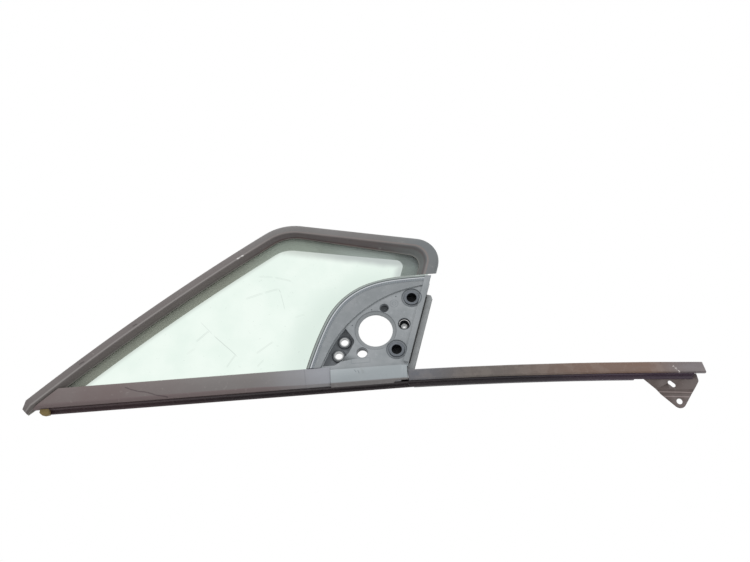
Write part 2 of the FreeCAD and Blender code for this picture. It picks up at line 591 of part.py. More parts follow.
def guide_channel():
    """Channel for the front edge of the drop glass, open to the rear."""
    right = BASE_RIGHT + GUIDE_WIDTH
    front = raked_plate([(BASE_RIGHT, GUIDE_FOOT, 0.0), (right, GUIDE_FOOT, 0.0), (right, GUIDE_HEAD - 4, 2.0),
                         (right - 3, GUIDE_HEAD, 0.0), (BASE_RIGHT, GUIDE_HEAD, 0.0)],
                        GUIDE_FRONT, GUIDE_FRONT + SHEET)
    web = raked_plate([(BASE_RIGHT, GUIDE_FOOT, 0.0), (BASE_RIGHT + SHEET, GUIDE_FOOT, 0.0),
                       (BASE_RIGHT + SHEET, GUIDE_HEAD, 0.0), (BASE_RIGHT, GUIDE_HEAD, 0.0)],
                      GUIDE_FRONT, GUIDE_FRONT + GUIDE_DEPTH)
    back = raked_plate([(BASE_RIGHT, GUIDE_FOOT, 0.0), (right, GUIDE_FOOT, 0.0), (right, GUIDE_HEAD, 0.0),
                        (BASE_RIGHT, GUIDE_HEAD, 0.0)],
                       GUIDE_FRONT + GUIDE_DEPTH - SHEET, GUIDE_FRONT + GUIDE_DEPTH)
    body = fuse([front, web, back])
    return body.cut(block(0.0, FAR_RIGHT, OUTSIDE, INSIDE, FAR_BELOW, BELT_REF[1] + 1.0))


def glass_run():
    """Rubber lining of the guide channel, with two lips towards the drop glass."""
    left = BASE_RIGHT + SHEET
    right = BASE_RIGHT + GUIDE_WIDTH
    y0 = GUIDE_FRONT + SHEET
    y1 = GUIDE_FRONT + GUIDE_DEPTH - SHEET
    lining = 1.6

    def strip(s0, s1, a, b):
        return raked_plate([(s0, GUIDE_FOOT, 0.0), (s1, GUIDE_FOOT, 0.0), (s1, GUIDE_HEAD - 4.0, 0.0),
                            (s0, GUIDE_HEAD - 4.0, 0.0)], a, b)

    body = fuse([strip(left, right - 1.0, y0, y0 + lining), strip(left, left + lining, y0, y1),
                 strip(left, right - 1.0, y1 - lining, y1), strip(right - 2.6, right - 1.0, y0, y0 + 3.0),
                 strip(right - 2.6, right - 1.0, y1 - 3.0, y1)])
    return body.cut(block(0.0, FAR_RIGHT, OUTSIDE, INSIDE, FAR_BELOW, BELT_REF[1] + 1.0))


def run_edge_trim():
    """Toothed rubber edge between the mirror base and the guide channel."""
    pitch = 3.0
    left = BASE_RIGHT
    foot = -38.0
    count = 38
    points = [raked(left, foot)]
    for i in range(count):
        low = foot + i * pitch
        points.append(raked(left + 1.9, low + 0.3))
        points.append(raked(left + 1.9, low + pitch - 1.1))
        points.append(raked(left + 1.1, low + pitch - 0.6))
    points.append(raked(left, foot + count * pitch))
    return sharp_plate(points, 1.8, GUIDE_FRONT)


def bowed(points, x0, x1):
    """Bar along the bowed belt line, between two distances along it."""
    ref_y, ref_z = BELT_REF
    centre = V(BELT_START, ref_y + BELT_RADIUS * math.cos(BELT_LEAN), ref_z - BELT_RADIUS * math.sin(BELT_LEAN))
    axis = V(0, math.sin(BELT_LEAN), math.cos(BELT_LEAN))
    face = section(points, BELT_START)
    face.rotate(centre, axis, math.degrees((x0 - BELT_START) / BELT_RADIUS))
    return face.revolve(centre, axis, math.degrees((x1 - x0) / BELT_RADIUS))


def kinked(shape):
    """Turns a belt piece down about the start of the bow."""
    shape.rotate(V(BELT_START, 0, BELT_REF[1]), V(0, 1, 0), BELT_KINK)
    return shape


def waist_strip():
    """Outer waist strip: a face with folded edges, cut off aslant at its rear end."""
    top = BELT_REF[1]
    low = top - STRIP_HEIGHT
    face = STRIP_FACE
    points = [(RAIL_FRONT, top), (face + 1.4, top), (face, top - 1.4), (face, low + 1.3), (face + 1.2, low),
              (3.0, low), (3.0, low + SHEET), (face + 1.9, low + SHEET), (face + SHEET, low + 2.1),
              (face + SHEET, top - 2.0), (face + 2.1, top - SHEET), (RAIL_FRONT, top - SHEET)]
    body = kinked(bowed(points, BELT_START, STRIP_END + 12.0))
    cut = [(STRIP_END - 6.0, -70.0), (STRIP_END + 2.0, -108.0), (FAR_RIGHT, -108.0), (FAR_RIGHT, -70.0)]
    return body.cut(sharp_plate(cut, OUTSIDE, INSIDE))


def belt_rail():
    """Folded steel rail behind the waist strip, with a tongue into the sill channel."""
    front, back = RAIL_FRONT, RAIL_FRONT + SHEET
    top = BELT_REF[1]
    low = top - STRIP_HEIGHT
    web = [(front, top), (back, top), (back, RAIL_LOW), (front, RAIL_LOW), (front, low - SHEET),
           (0.0, low - SHEET), (0.0, low), (front, low)]
    foot = [(back, RAIL_LOW + SHEET), (back + 5.0, RAIL_LOW + SHEET), (back + 5.0, RAIL_LOW), (back, RAIL_LOW)]
    tongue = [(front, -77.5), (back, -77.5), (back, -83.0), (front, -83.0)]
    body = fuse([bowed(web, BELT_START, RAIL_END), bowed(foot, HEM_RIGHT + 2.0, 388.0),
                 rail(tongue, BELT_START - 45.0, BELT_START)])
    return kinked(body)


def belt_wiper():
    """Rubber wiper on the inner side of the belt rail."""
    y = RAIL_FRONT + SHEET
    points = [(y, -69.0), (y + 1.8, -69.0), (y + 2.0, -76.5), (y + 6.5, -67.5), (y + 7.6, -68.0), (y + 3.6, -79.0),
              (y + 1.8, -81.5), (y, -81.5)]
    return kinked(bowed(points, BELT_START + 22.0, RAIL_END - 4.0))


def end_bracket():
    """Joggled steel bracket at the rear end of the rail, with a round hole and a slanted slot."""
    y = RAIL_FRONT + SHEET
    thick = 2.0
    jog = 3.5
    points = [(y, -82.5), (y + thick, -82.5), (y + thick, -107.0), (y + thick + jog, -113.5),
              (y + thick + jog, -152.0), (y + jog, -152.0), (y + jog, -113.9), (y, -107.4)]
    body = kinked(bowed(points, 380.0, 500.0))
    body = body.common(plate(BRACKET_OUTLINE, OUTSIDE, INSIDE))
    body = body.cut(disc(BRACKET_HOLE, BRACKET_HOLE_RADIUS, OUTSIDE, INSIDE))
    reach = SLOT_LENGTH / 2 - SLOT_HALF_WIDTH
    slant = math.radians(-45.0)
    ends = [(BRACKET_SLOT[0] + side * reach * math.cos(slant), BRACKET_SLOT[1] + side * reach * math.sin(slant))
            for side in (-1, 1)]
    across = (-math.sin(slant) * SLOT_HALF_WIDTH, math.cos(slant) * SLOT_HALF_WIDTH)
    middle = sharp_plate([(ends[0][0] - across[0], ends[0][1] - across[1]),
                          (ends[1][0] - across[0], ends[1][1] - across[1]),
                          (ends[1][0] + across[0], ends[1][1] + across[1]),
                          (ends[0][0] + across[0], ends[0][1] + across[1])], OUTSIDE, INSIDE)
    slot = fuse([disc(end, SLOT_HALF_WIDTH, OUTSIDE, INSIDE) for end in ends] + [middle])
    return body.cut(slot)


NODES = {
    "quarter_glass": quarter_glass,
    "glass_frame_seal": glass_frame_seal,
    "sill_moulding": sill_moulding,
    "sill_channel": sill_channel,
    "glass_setting_strip": glass_setting_strip,
    "rail_end_foam": rail_end_foam,
    "mirror_base": mirror_base,
    "mirror_base_gasket": mirror_base_gasket,
    "mirror_insert": mirror_insert,
    "guide_channel": guide_channel,
    "glass_run": glass_run,
    "run_edge_trim": run_edge_trim,
    "waist_strip": waist_strip,
    "belt_rail": belt_rail,
    "belt_wiper": belt_wiper,
    "end_bracket": end_bracket,
}

for name, build in NODES.items():
    save(name, build())
for name, centre in BUSH_CENTRES.items():
    save(name, mirror_bush(centre))
for name, centre in SLEEVE_CENTRES.items():
    save(name, fixing_sleeve(centre))
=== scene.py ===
"""Looks of the fixed quarter window: glass, moulded frame, mirror base and belt rail.

Metres, in the frame of the CAD part. X runs along the sill, Y points into the car and Z is up.
"""

import math

import bmesh
import bpy
import numpy as np
from mathutils import Matrix, Vector


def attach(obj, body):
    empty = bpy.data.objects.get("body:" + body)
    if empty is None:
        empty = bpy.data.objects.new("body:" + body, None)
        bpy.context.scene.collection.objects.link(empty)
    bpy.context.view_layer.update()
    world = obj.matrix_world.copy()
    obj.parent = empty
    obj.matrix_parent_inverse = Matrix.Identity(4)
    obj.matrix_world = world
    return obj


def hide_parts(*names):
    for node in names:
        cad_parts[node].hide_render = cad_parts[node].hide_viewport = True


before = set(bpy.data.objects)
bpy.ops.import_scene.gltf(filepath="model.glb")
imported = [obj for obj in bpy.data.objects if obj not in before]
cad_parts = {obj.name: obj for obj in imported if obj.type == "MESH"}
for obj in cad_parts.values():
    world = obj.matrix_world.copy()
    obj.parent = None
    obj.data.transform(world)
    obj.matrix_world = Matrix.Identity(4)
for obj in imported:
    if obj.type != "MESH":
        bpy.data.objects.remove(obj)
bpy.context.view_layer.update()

MM = 0.001
BODY = "root"
# Stretch of a noise that runs in streaks along the sill
ALONG = (1.0, 8.0, 8.0)

# The frame's outline, in millimetres, as the CAD has it
SLANT_FOOT = (-536.0, -69.0)
SLANT_HEAD = (-189.0, 171.0)
SLANT_BOW = 6.5
TOP_LEFT = (-91.0, 190.0)
TOP_RIGHT = (75.0, 154.8)
RAKE = math.radians(18.5)
REAR_LINE = 68.2
REAR_END_Z = 87.5
# Insets of the section's corners, as the CAD has them but for a wider rear lip. Six numbers each: from
# the sloping edge, from both ends of the top and from the rear edge, then the radii of both corners
FRAME_EDGE = (0.0, 0.0, 0.0, 0.0, 85.0, 38.0)
FRAME_SHOULDER = (2.5, 2.5, 2.5, 2.5, 82.0, 36.0)
CROWN_OUTER = (11.0, 11.0, 11.0, 13.0, 74.0, 29.0)
CROWN_INNER = (14.0, 14.0, 14.5, 16.5, 71.0, 27.0)
SLOPE_HEAD = (16.2, 16.2, 17.0, 19.0, 69.0, 25.0)
SLOPE_FOOT = (22.0, 21.0, 27.5, 27.0, 62.0, 20.0)
LIP_EDGE = (24.5, 23.5, 30.5, 29.5, 60.0, 18.0)
GLASS_EDGE = (12.3, 12.3, 12.3, 12.3, 72.0, 27.0)
REAR_LIP = (38.0, 41.0, 37.5, 54.5, 46.0, 12.0)
REAR_WALL = (10.0, 10.0, 10.0, 11.0, 75.0, 30.0)
SILL_CUT = (19.5, 19.5, 19.5, 19.5, 65.0, 20.0)
TAIL_LINE = ((-536.0, -69.0), (-522.0, -85.0))
TAIL_END = ((-541.0, -84.0), (-535.0, -94.0))
SILL_TOP = -54.6
# Depths of the section's corners and of the pane
FACE_LEVEL = -4.2
SHOULDER_LEVEL = -3.6
LIP_LEVEL = 2.4
BACK_LEVEL = 10.5
REAR_LEVEL = 13.0
GLASS_FRONT = 4.0
GLASS_BACK = 8.0
# Air that is left on both sides of the pane, so that no two faces lie on each other
SLIT = 0.3
REAR_GAP = 0.9
# Corners of the section: insets, depth and rounding
SECTION = (
    (FRAME_EDGE, BACK_LEVEL, 0.8), (FRAME_EDGE, LIP_LEVEL, 2.4), (FRAME_SHOULDER, SHOULDER_LEVEL, 2.2),
    (CROWN_OUTER, FACE_LEVEL, 2.5), (CROWN_INNER, FACE_LEVEL, 2.2), (SLOPE_HEAD, SHOULDER_LEVEL, 1.6),
    (SLOPE_FOOT, LIP_LEVEL, 1.2), (LIP_EDGE, LIP_LEVEL, 0.8), (LIP_EDGE, GLASS_FRONT - SLIT, 0.2),
    (GLASS_EDGE, GLASS_FRONT - SLIT, 0.1), (GLASS_EDGE, GLASS_BACK + REAR_GAP, 0.1),
    (REAR_LIP, GLASS_BACK + REAR_GAP, 0.2), (REAR_LIP, BACK_LEVEL, 1.0), (REAR_WALL, BACK_LEVEL, 0.5),
    (REAR_WALL, REAR_LEVEL, 0.8), (FRAME_SHOULDER, REAR_LEVEL, 0.8),
)
# The smaller end of the tail: its share of the cut face and the depth of its middle
TAIL_SHARE = 0.62
TAIL_DEPTH = 5.0
# Side of the small faces that the pane is cut into, in metres
PANE_CELL = 0.02

# The mirror base: centres of its round features, in millimetres
HUB = (0.0, 0.0)
UPPER_BUSH = (60.0, 50.0)
LOWER_BUSH = (30.0, -34.0)
INSERT = (45.0, 7.0)
BLIND_HOLE = (16.0, 36.0)
DRAIN_HOLE = (-23.0, -35.0)
BADGE = (31.9, 42.4)
SLEEVES = ((-49.0, -14.0), (-59.0, -35.5))
PIN_MARKS = ((-35.4, 10.9), (-3.9, 34.8), (35.6, 54.2))
# Where the rim ends by the raked edge and how far it runs on below the sill's top edge
RIM_SIDE_END = 53.0
RIM_OVERLAP = 8.0
# Pitch of the fine ribs along the rim, in metres
RIB_PITCH = 0.0029
# Knots of the rim's curve
BASE_ARC = ((-124.7, -100.0), (-109.0, -57.0), (-87.0, -2.0), (-50.0, 54.0), (0.0, 80.8), (45.0, 86.6),
            (130.0, 86.0))


# Camera and light

def srgb(r, g, b):
    """Linear colour from the eight-bit one that it should render as."""
    return tuple((c / 255.0 / 12.92) if c / 255.0 <= 0.04045 else ((c / 255.0 + 0.055) / 1.055) ** 2.4
                 for c in (r, g, b)) + (1.0,)


def make_camera():
    """Camera of the photograph: below the part, looking up at its outer face, a little rolled."""
    roll = math.radians(4.4)
    forward = Vector((0.0, 0.9063, 0.4226))
    up = Vector((0.0, -0.4226, 0.9063))
    side = Vector((1.0, 0.0, 0.0))
    right = side * math.cos(roll) - up * math.sin(roll)
    over = side * math.sin(roll) + up * math.cos(roll)
    data = bpy.data.cameras.new("camera")
    data.lens = 45.0
    data.sensor_width = 36.0
    camera = bpy.data.objects.new("camera", data)
    bpy.context.collection.objects.link(camera)
    place = Matrix((right, over, -forward)).transposed().to_4x4()
    place.translation = Vector((0.004952, -1.344283, -0.542514))
    camera.matrix_world = place
    bpy.context.scene.camera = camera


def area_lamp(name, place, target, size, power):
    """Soft square lamp aimed at a point."""
    data = bpy.data.lights.new(name, "AREA")
    data.shape = "SQUARE"
    data.size = size
    data.energy = power
    lamp = bpy.data.objects.new(name, data)
    bpy.context.collection.objects.link(lamp)
    lamp.location = place
    lamp.rotation_euler = (Vector(target) - Vector(place)).to_track_quat("-Z", "Y").to_euler()


def make_world(ambient):
    """White where the camera, gloss or glass looks, and a softer level for diffuse light."""
    world = bpy.data.worlds.new("world")
    bpy.context.scene.world = world
    world.use_nodes = True
    tree = world.node_tree
    tree.nodes.clear()
    path = tree.nodes.new("ShaderNodeLightPath")
    seen = tree.nodes.new("ShaderNodeMath")
    seen.operation = "MAXIMUM"
    tree.links.new(path.outputs["Is Camera Ray"], seen.inputs[0])
    tree.links.new(path.outputs["Is Glossy Ray"], seen.inputs[1])
    both = tree.nodes.new("ShaderNodeMath")
    both.operation = "MAXIMUM"
    tree.links.new(seen.outputs[0], both.inputs[0])
    tree.links.new(path.outputs["Is Transmission Ray"], both.inputs[1])
    level = tree.nodes.new("ShaderNodeMapRange")
    level.inputs["To Min"].default_value = ambient
    level.inputs["To Max"].default_value = 1.0
    tree.links.new(both.outputs[0], level.inputs["Value"])
    background = tree.nodes.new("ShaderNodeBackground")
    background.inputs["Color"].default_value = (1.0, 1.0, 1.0, 1.0)
    tree.links.new(level.outputs[0], background.inputs["Strength"])
    output = tree.nodes.new("ShaderNodeOutputWorld")
    tree.links.new(background.outputs[0], output.inputs["Surface"])


# Materials

class Shader:
    """Node tree of one material, with short calls for the nodes used here."""

    def __init__(self, name):
        self.material = bpy.data.materials.new(name)
        self.material.use_nodes = True
        self.tree = self.material.node_tree
        self.tree.nodes.clear()
        self.output = self.tree.nodes.new("ShaderNodeOutputMaterial")
        self.where = self.add("ShaderNodeTexCoord").outputs["Object"]
        parts = self.add("ShaderNodeSeparateXYZ", Vector=self.where)
        self.x, self.y, self.z = parts.outputs

    def put(self, socket, value):
        """Links a socket, or sets a value."""
        if isinstance(value, bpy.types.NodeSocket):
            self.tree.links.new(value, socket)
        else:
            socket.default_value = value

    def add(self, kind, props=None, **inputs):
        """New node with some of its inputs set."""
        node = self.tree.nodes.new(kind)
        for key, value in (props or {}).items():
            setattr(node, key, value)
        for key, value in inputs.items():
            self.put(node.inputs[key.replace("_", " ")], value)
        return node

    def calc(self, operation, a, b=0.0):
        """Math node."""
        node = self.add("ShaderNodeMath", {"operation": operation})
        for socket, value in zip(node.inputs, (a, b)):
            self.put(socket, value)
        return node.outputs[0]

    def times(self, a, b):
        """Product, also of two masks."""
        return self.calc("MULTIPLY", a, b)

    def ramp(self, value, low, high, to_low=0.0, to_high=1.0):
        """Smooth step between two values."""
        node = self.add("ShaderNodeMapRange", {"interpolation_type": "SMOOTHSTEP"}, Value=value,
                        From_Min=low, From_Max=high, To_Min=to_low, To_Max=to_high)
        return node.outputs[0]

    def noise(self, scale, detail=2.0, roughness=0.5, stretch=(1.0, 1.0, 1.0)):
        """Noise over the object's own position."""
        place = self.add("ShaderNodeMapping", Vector=self.where, Scale=stretch)
        node = self.add("ShaderNodeTexNoise", Vector=place.outputs[0], Scale=scale, Detail=detail,
                        Roughness=roughness)
        return node.outputs["Fac"]

    def mix(self, factor, a, b):
        """Colour mix. The colours are the sixth and the seventh input of the node."""
        node = self.add("ShaderNodeMix", {"data_type": "RGBA"})
        self.put(node.inputs[0], factor)
        self.put(node.inputs[6], a)
        self.put(node.inputs[7], b)
        return node.outputs[2]

    def stops(self, value, colours):
        """Colour ramp from pairs of place and colour."""
        node = self.add("ShaderNodeValToRGB", Fac=value)
        bar = node.color_ramp.elements
        while len(bar) < len(colours):
            bar.new(0.5)
        for element, (place, colour) in zip(bar, colours):
            element.position = place
            element.color = colour
        return node.outputs["Color"]

    def stroke(self, start, end, width, waver=0.0, fade=0.15):
        """Mask of one thin line across the outer face, between two points of x and z in metres."""
        (x0, z0), (x1, z1) = start, end
        turn = math.atan2(-(z1 - z0), x1 - x0)
        length = math.hypot(x1 - x0, z1 - z0)
        local = self.add("ShaderNodeMapping", {"vector_type": "TEXTURE"}, Vector=self.where,
                         Location=(x0, 0.0, z0), Rotation=(0.0, turn, 0.0))
        parts = self.add("ShaderNodeSeparateXYZ", Vector=local.outputs[0])
        along, _, across = parts.outputs
        if waver:
            wave = self.add("ShaderNodeTexNoise", {"noise_dimensions": "1D"}, W=along, Scale=1.6 / length,
                            Detail=3.0)
            sway = self.calc("SUBTRACT", wave.outputs["Fac"], 0.5)
            across = self.calc("ADD", across, self.times(sway, waver))
        near = self.ramp(self.calc("ABSOLUTE", across), width * 0.35, width, 1.0, 0.0)
        head = self.ramp(along, 0.0, length * fade)
        tail = self.ramp(along, length * (1 - fade), length, 1.0, 0.0)
        return self.times(near, self.times(head, tail))

    def away(self, x, z):
        """Distance across the outer face from a point of x and z in metres."""
        dx = self.calc("SUBTRACT", self.x, x)
        dz = self.calc("SUBTRACT", self.z, z)
        return self.calc("SQRT", self.calc("ADD", self.times(dx, dx), self.times(dz, dz)))

    def near(self, centre):
        """Distance across the outer face from a centre in millimetres."""
        return self.away(centre[0] * MM, centre[1] * MM)

    def ring(self, distance, radius, width):
        """Mask of a thin line at one distance."""
        off = self.calc("ABSOLUTE", self.calc("SUBTRACT", distance, radius))
        return self.ramp(off, width * 0.35, width, 1.0, 0.0)

    def inside(self, distance, full, none, depth=1.0):
        """Mask of what lies nearer than a distance, fading out between two values."""
        return self.ramp(distance, full, none, depth, 0.0)

    def beyond(self, x, z, nx, nz):
        """Distance past a straight line through a point, along a direction."""
        dx = self.times(self.calc("SUBTRACT", self.x, x), nx)
        dz = self.times(self.calc("SUBTRACT", self.z, z), nz)
        return self.calc("ADD", dx, dz)

    def join(self, masks):
        """Largest of several masks."""
        total = masks[0]
        for mask in masks[1:]:
            total = self.calc("MAXIMUM", total, mask)
        return total

    def band(self, value, rise, full, fall, end):
        """Mask of a band: it rises between the first two values and falls between the last two."""
        return self.times(self.ramp(value, rise, full), self.ramp(value, fall, end, 1.0, 0.0))

    def bump(self, height, strength, distance, normal=None):
        """Bump from a height."""
        node = self.add("ShaderNodeBump", Height=height, Strength=strength, Distance=distance)
        if normal is not None:
            self.put(node.inputs["Normal"], normal)
        return node.outputs[0]

    def surface(self, colour, roughness, normal=None, **uniform):
        """Principled shader on the output."""
        node = self.add("ShaderNodeBsdfPrincipled")
        self.put(node.inputs["Base Color"], colour)
        self.put(node.inputs["Roughness"], roughness)
        if normal is not None:
            self.put(node.inputs["Normal"], normal)
        for key, value in uniform.items():
            node.inputs[key.replace("_", " ")].default_value = value
        self.tree.links.new(node.outputs[0], self.output.inputs["Surface"])


def scaled(colour, share):
    """Colour made lighter or darker."""
    return tuple(min(1.0, c * share) for c in colour[:3]) + (1.0,)


def moulded(name, colour, grain, strength, rough, tint=0.10, specular=0.35):
    """Moulded rubber or plastic: soft mottling, a fine grain and small rubbed spots."""
    s = Shader(name)
    cloud = s.noise(14.0, 4.0, 0.6)
    fine = s.noise(160.0, 3.0, 0.6)
    base = s.mix(s.ramp(cloud, 0.3, 0.7), scaled(colour, 1 - tint), scaled(colour, 1 + tint))
    base = s.mix(s.times(s.ramp(fine, 0.56, 0.72), 0.12), base, srgb(190, 190, 188))
    normal = s.bump(s.noise(grain, 2.0, 0.5), strength, 0.0004)
    s.surface(base, s.ramp(fine, 0.2, 0.8, rough - 0.08, rough + 0.1), normal, Specular_IOR_Level=specular)
    return s.material


def painted(name, colour, rough, specular, tint, metallic=0.0):
    """Painted or plated steel: streaks along the sill, dust and a light orange peel."""
    s = Shader(name)
    streak = s.noise(22.0, 4.0, 0.65, stretch=ALONG)
    fine = s.noise(260.0, 3.0, 0.6)
    base = s.mix(s.ramp(streak, 0.3, 0.75), scaled(colour, 1 - tint), scaled(colour, 1 + tint))
    base = s.mix(s.times(s.ramp(fine, 0.6, 0.75), 0.15), base, srgb(128, 122, 116))
    normal = s.bump(s.noise(500.0, 2.0, 0.5), 0.08, 0.0003)
    s.surface(base, s.ramp(streak, 0.2, 0.8, rough - 0.06, rough + 0.12), normal,
              Specular_IOR_Level=specular, Metallic=metallic)
    return s.material


def glass_material():
    """Green tinted safety glass with fine scratches, and a painted shadow of the frame just inside its
    rear lip.
    """
    s = Shader("tinted_glass")
    cloud = s.noise(14.0, 4.0, 0.6)
    blur = s.noise(40.0, 3.0, 0.6)
    tilt = math.atan2(TOP_RIGHT[1] - TOP_LEFT[1], TOP_RIGHT[0] - TOP_LEFT[0])
    top = s.beyond(TOP_LEFT[0] * MM, TOP_LEFT[1] * MM, math.sin(tilt), -math.cos(tilt))
    rear = s.beyond(REAR_LINE * MM * math.cos(RAKE), -REAR_LINE * MM * math.sin(RAKE), -math.cos(RAKE),
                    math.sin(RAKE))
    cx, cz, big = slant_circle()
    slant = s.calc("SUBTRACT", big * MM, s.away(cx * MM, cz * MM))
    waver = s.times(s.calc("SUBTRACT", blur, 0.5), 0.006)
    # Painted shadow of the frame, seen through the glass just inside the rear lip along the top, the rear
    # edge and the slope
    painted_shadow_top = s.inside(s.calc("ADD", top, waver), 0.044, 0.058)
    painted_shadow_rear = s.inside(s.calc("ADD", rear, waver), 0.056, 0.070, 0.75)
    painted_shadow_slant = s.inside(slant, 0.0375, 0.0475, 0.95)
    painted_shadow = s.join([painted_shadow_top, painted_shadow_rear, painted_shadow_slant])
    centre = s.away(0.02, -0.06)
    clear = s.mix(s.ramp(cloud, 0.35, 0.68), srgb(234, 248, 239), srgb(242, 253, 245))
    clear = s.mix(s.ramp(centre, 0.135, 0.185, 0.75, 0.0), clear, srgb(216, 233, 223))
    clear = s.mix(painted_shadow, clear, s.mix(s.ramp(s.x, -0.12, -0.02), srgb(198, 209, 200), srgb(176, 188, 184)))
    # Scratches: two ends in metres and how deep each one shows
    lines = [((-0.2803, 0.0062), (-0.2581, 0.0244), 0.5), ((-0.2732, 0.0404), (-0.2531, 0.0164), 0.22),
             ((-0.2531, 0.0164), (-0.2136, -0.0243), 0.42), ((-0.2027, 0.0729), (-0.1722, 0.0814), 0.4),
             ((-0.1722, 0.0814), (-0.1484, 0.0863), 0.45), ((-0.2333, -0.0402), (-0.2173, -0.0188), 0.35),
             ((-0.1484, 0.0863), (-0.1456, 0.0795), 0.35), ((-0.1456, 0.0795), (-0.1396, 0.0489), 0.25),
             ((-0.1817, 0.1110), (-0.1558, 0.1077), 0.3), ((-0.1558, 0.1077), (-0.1263, 0.0975), 0.35),
             ((-0.1877, -0.0212), (-0.1584, -0.0020), 0.4), ((-0.1856, -0.0422), (-0.1744, -0.0315), 0.3),
             ((-0.2950, -0.0130), (-0.2800, -0.0040), 0.2), ((-0.1250, 0.0350), (-0.1080, 0.0390), 0.2)]
    marks = [s.times(s.stroke(a, b, 0.0008, 0.002), depth) for a, b, depth in lines]
    specks = s.times(s.ramp(s.noise(170.0, 2.0, 0.6), 0.70, 0.76), 0.25)
    worn = s.join(marks + [specks])
    clear = s.mix(worn, clear, srgb(150, 168, 158))
    through = s.add("ShaderNodeBsdfTransparent")
    s.put(through.inputs["Color"], s.mix(0.5, clear, srgb(255, 255, 255)))
    shine = s.add("ShaderNodeBsdfGlossy")
    s.put(shine.inputs["Roughness"], s.ramp(blur, 0.3, 0.7, 0.01, 0.04))
    body = s.add("ShaderNodeMixShader")
    body.inputs[0].default_value = 0.035
    s.put(body.inputs[1], through.outputs[0])
    s.put(body.inputs[2], shine.outputs[0])
    open_glass = s.add("ShaderNodeBsdfTransparent")
    open_glass.inputs["Color"].default_value = srgb(251, 253, 252)
    path = s.add("ShaderNodeLightPath")
    open_ray = s.calc("MAXIMUM", path.outputs["Is Shadow Ray"], path.outputs["Is Diffuse Ray"])
    glass = s.add("ShaderNodeMixShader")
    s.put(glass.inputs[0], open_ray)
    s.put(glass.inputs[1], body.outputs[0])
    s.put(glass.inputs[2], open_glass.outputs[0])
    s.tree.links.new(glass.outputs[0], s.output.inputs["Surface"])
    return s.material


def frame_rubber():
    """Moulded frame: a paler face with a painted highlight on its crown, a sloping band that is dark
    partly by its own colour and partly by painted shade, a painted highlight line on the lip and a greener
    rear lip, with painted shade near the front lip.
    """
    s = Shader("frame_rubber")
    uv = s.add("ShaderNodeUVMap", {"uv_map": "profile"})
    parts = s.add("ShaderNodeSeparateXYZ", Vector=uv.outputs[0])
    # Number of the section's corner, counted on between the corners
    across = s.times(parts.outputs[1], float(len(SECTION)))
    top = s.ramp(s.x, -0.24, -0.13)
    right = s.ramp(s.x, 0.0, 0.085)
    cloud = s.noise(12.0, 4.0, 0.6)
    fine = s.noise(180.0, 3.0, 0.6)
    streak = s.noise(30.0, 4.0, 0.65)
    face = s.mix(right, s.mix(top, srgb(112, 106, 105), srgb(110, 108, 107)), srgb(110, 114, 116))
    face = s.mix(s.times(s.ramp(cloud, 0.35, 0.7), 0.5), face,
                 s.mix(top, srgb(120, 115, 113), srgb(120, 118, 118)))
    # Painted highlight along the crown
    painted_crown_highlight = s.mix(s.band(across, 4.0, 4.5, 4.7, 5.1), face,
                 s.mix(top, srgb(141, 137, 135), srgb(124, 117, 115)))
    # The sloping band, dark partly by its own colour and partly by painted shade
    slope = s.mix(right, s.mix(top, srgb(82, 78, 75), srgb(66, 57, 56)), srgb(66, 68, 68))
    slope = s.mix(s.ramp(streak, 0.35, 0.7), slope, s.mix(top, srgb(94, 89, 86), srgb(80, 66, 62)))
    base = s.mix(s.ramp(across, 4.85, 6.15), painted_crown_highlight, slope)
    # Painted sheen along the foot of the sloping band
    sheen = s.band(across, 5.6, 5.9, 6.2, 6.5)
    base = s.mix(s.times(sheen, 0.7), base, s.mix(top, srgb(100, 95, 92), srgb(94, 90, 90)))
    inner = s.band(across, 5.75, 6.0, 7.5, 7.8)
    base = s.mix(s.times(s.times(inner, right), 0.85), base, srgb(98, 102, 101))
    # Painted highlight: a thin light line along the lip's edge
    line = s.band(across, 6.9, 7.2, 7.55, 7.75)
    base = s.mix(s.times(line, 0.75), base, srgb(118, 117, 112))
    # Painted shade on the lip's inner face, by the glass
    base = s.mix(s.band(across, 7.8, 8.1, 9.4, 9.6), base, srgb(58, 59, 57))
    # Rear lip: darker towards the front lip, which is painted shade of it, and lighter further in
    deep = s.mix(right, s.mix(top, srgb(118, 116, 106), srgb(108, 110, 106)), srgb(138, 141, 142))
    open_lip = s.mix(right, s.mix(top, srgb(172, 171, 160), srgb(186, 192, 184)), srgb(152, 157, 158))
    lip = s.mix(s.ramp(across, 10.45, 10.98), deep, open_lip)
    lip = s.mix(s.times(s.ramp(cloud, 0.3, 0.7), 0.25), lip, srgb(132, 134, 126))
    pale = s.band(s.x, -0.08, -0.02, 0.03, 0.05)
    lip = s.mix(s.times(s.times(pale, s.ramp(across, 10.75, 10.9)), 0.6), lip,
                srgb(218, 224, 220))
    base = s.mix(s.band(across, 10.4, 10.6, 13.0, 13.3), base, lip)
    base = s.mix(s.ramp(across, 13.3, 13.6), base, srgb(96, 94, 92))
    rub = s.times(s.ramp(s.noise(90.0, 5.0, 0.75), 0.62, 0.74), 0.35)
    base = s.mix(rub, base, srgb(168, 165, 160))
    nicks = s.join([s.stroke((-0.4576, -0.0198), (-0.4486, -0.0154), 0.0014, 0.003),
                    s.stroke((-0.3774, 0.0369), (-0.3693, 0.0405), 0.0014, 0.003)])
    base = s.mix(s.times(nicks, 0.7), base, srgb(66, 60, 60))
    scuff = s.stroke((-0.2141, 0.1395), (-0.2017, 0.1465), 0.0016, 0.002)
    scuff = s.times(scuff, s.ramp(s.noise(420.0, 3.0, 0.7), 0.38, 0.55))
    base = s.mix(scuff, base, srgb(226, 224, 222))
    normal = s.bump(s.noise(800.0, 2.0, 0.5), 0.1, 0.0004)
    normal = s.bump(s.noise(70.0, 3.0, 0.6), 0.12, 0.0012, normal)
    s.surface(base, s.ramp(fine, 0.2, 0.8, 0.46, 0.64), normal, Specular_IOR_Level=0.32)
    return s.material


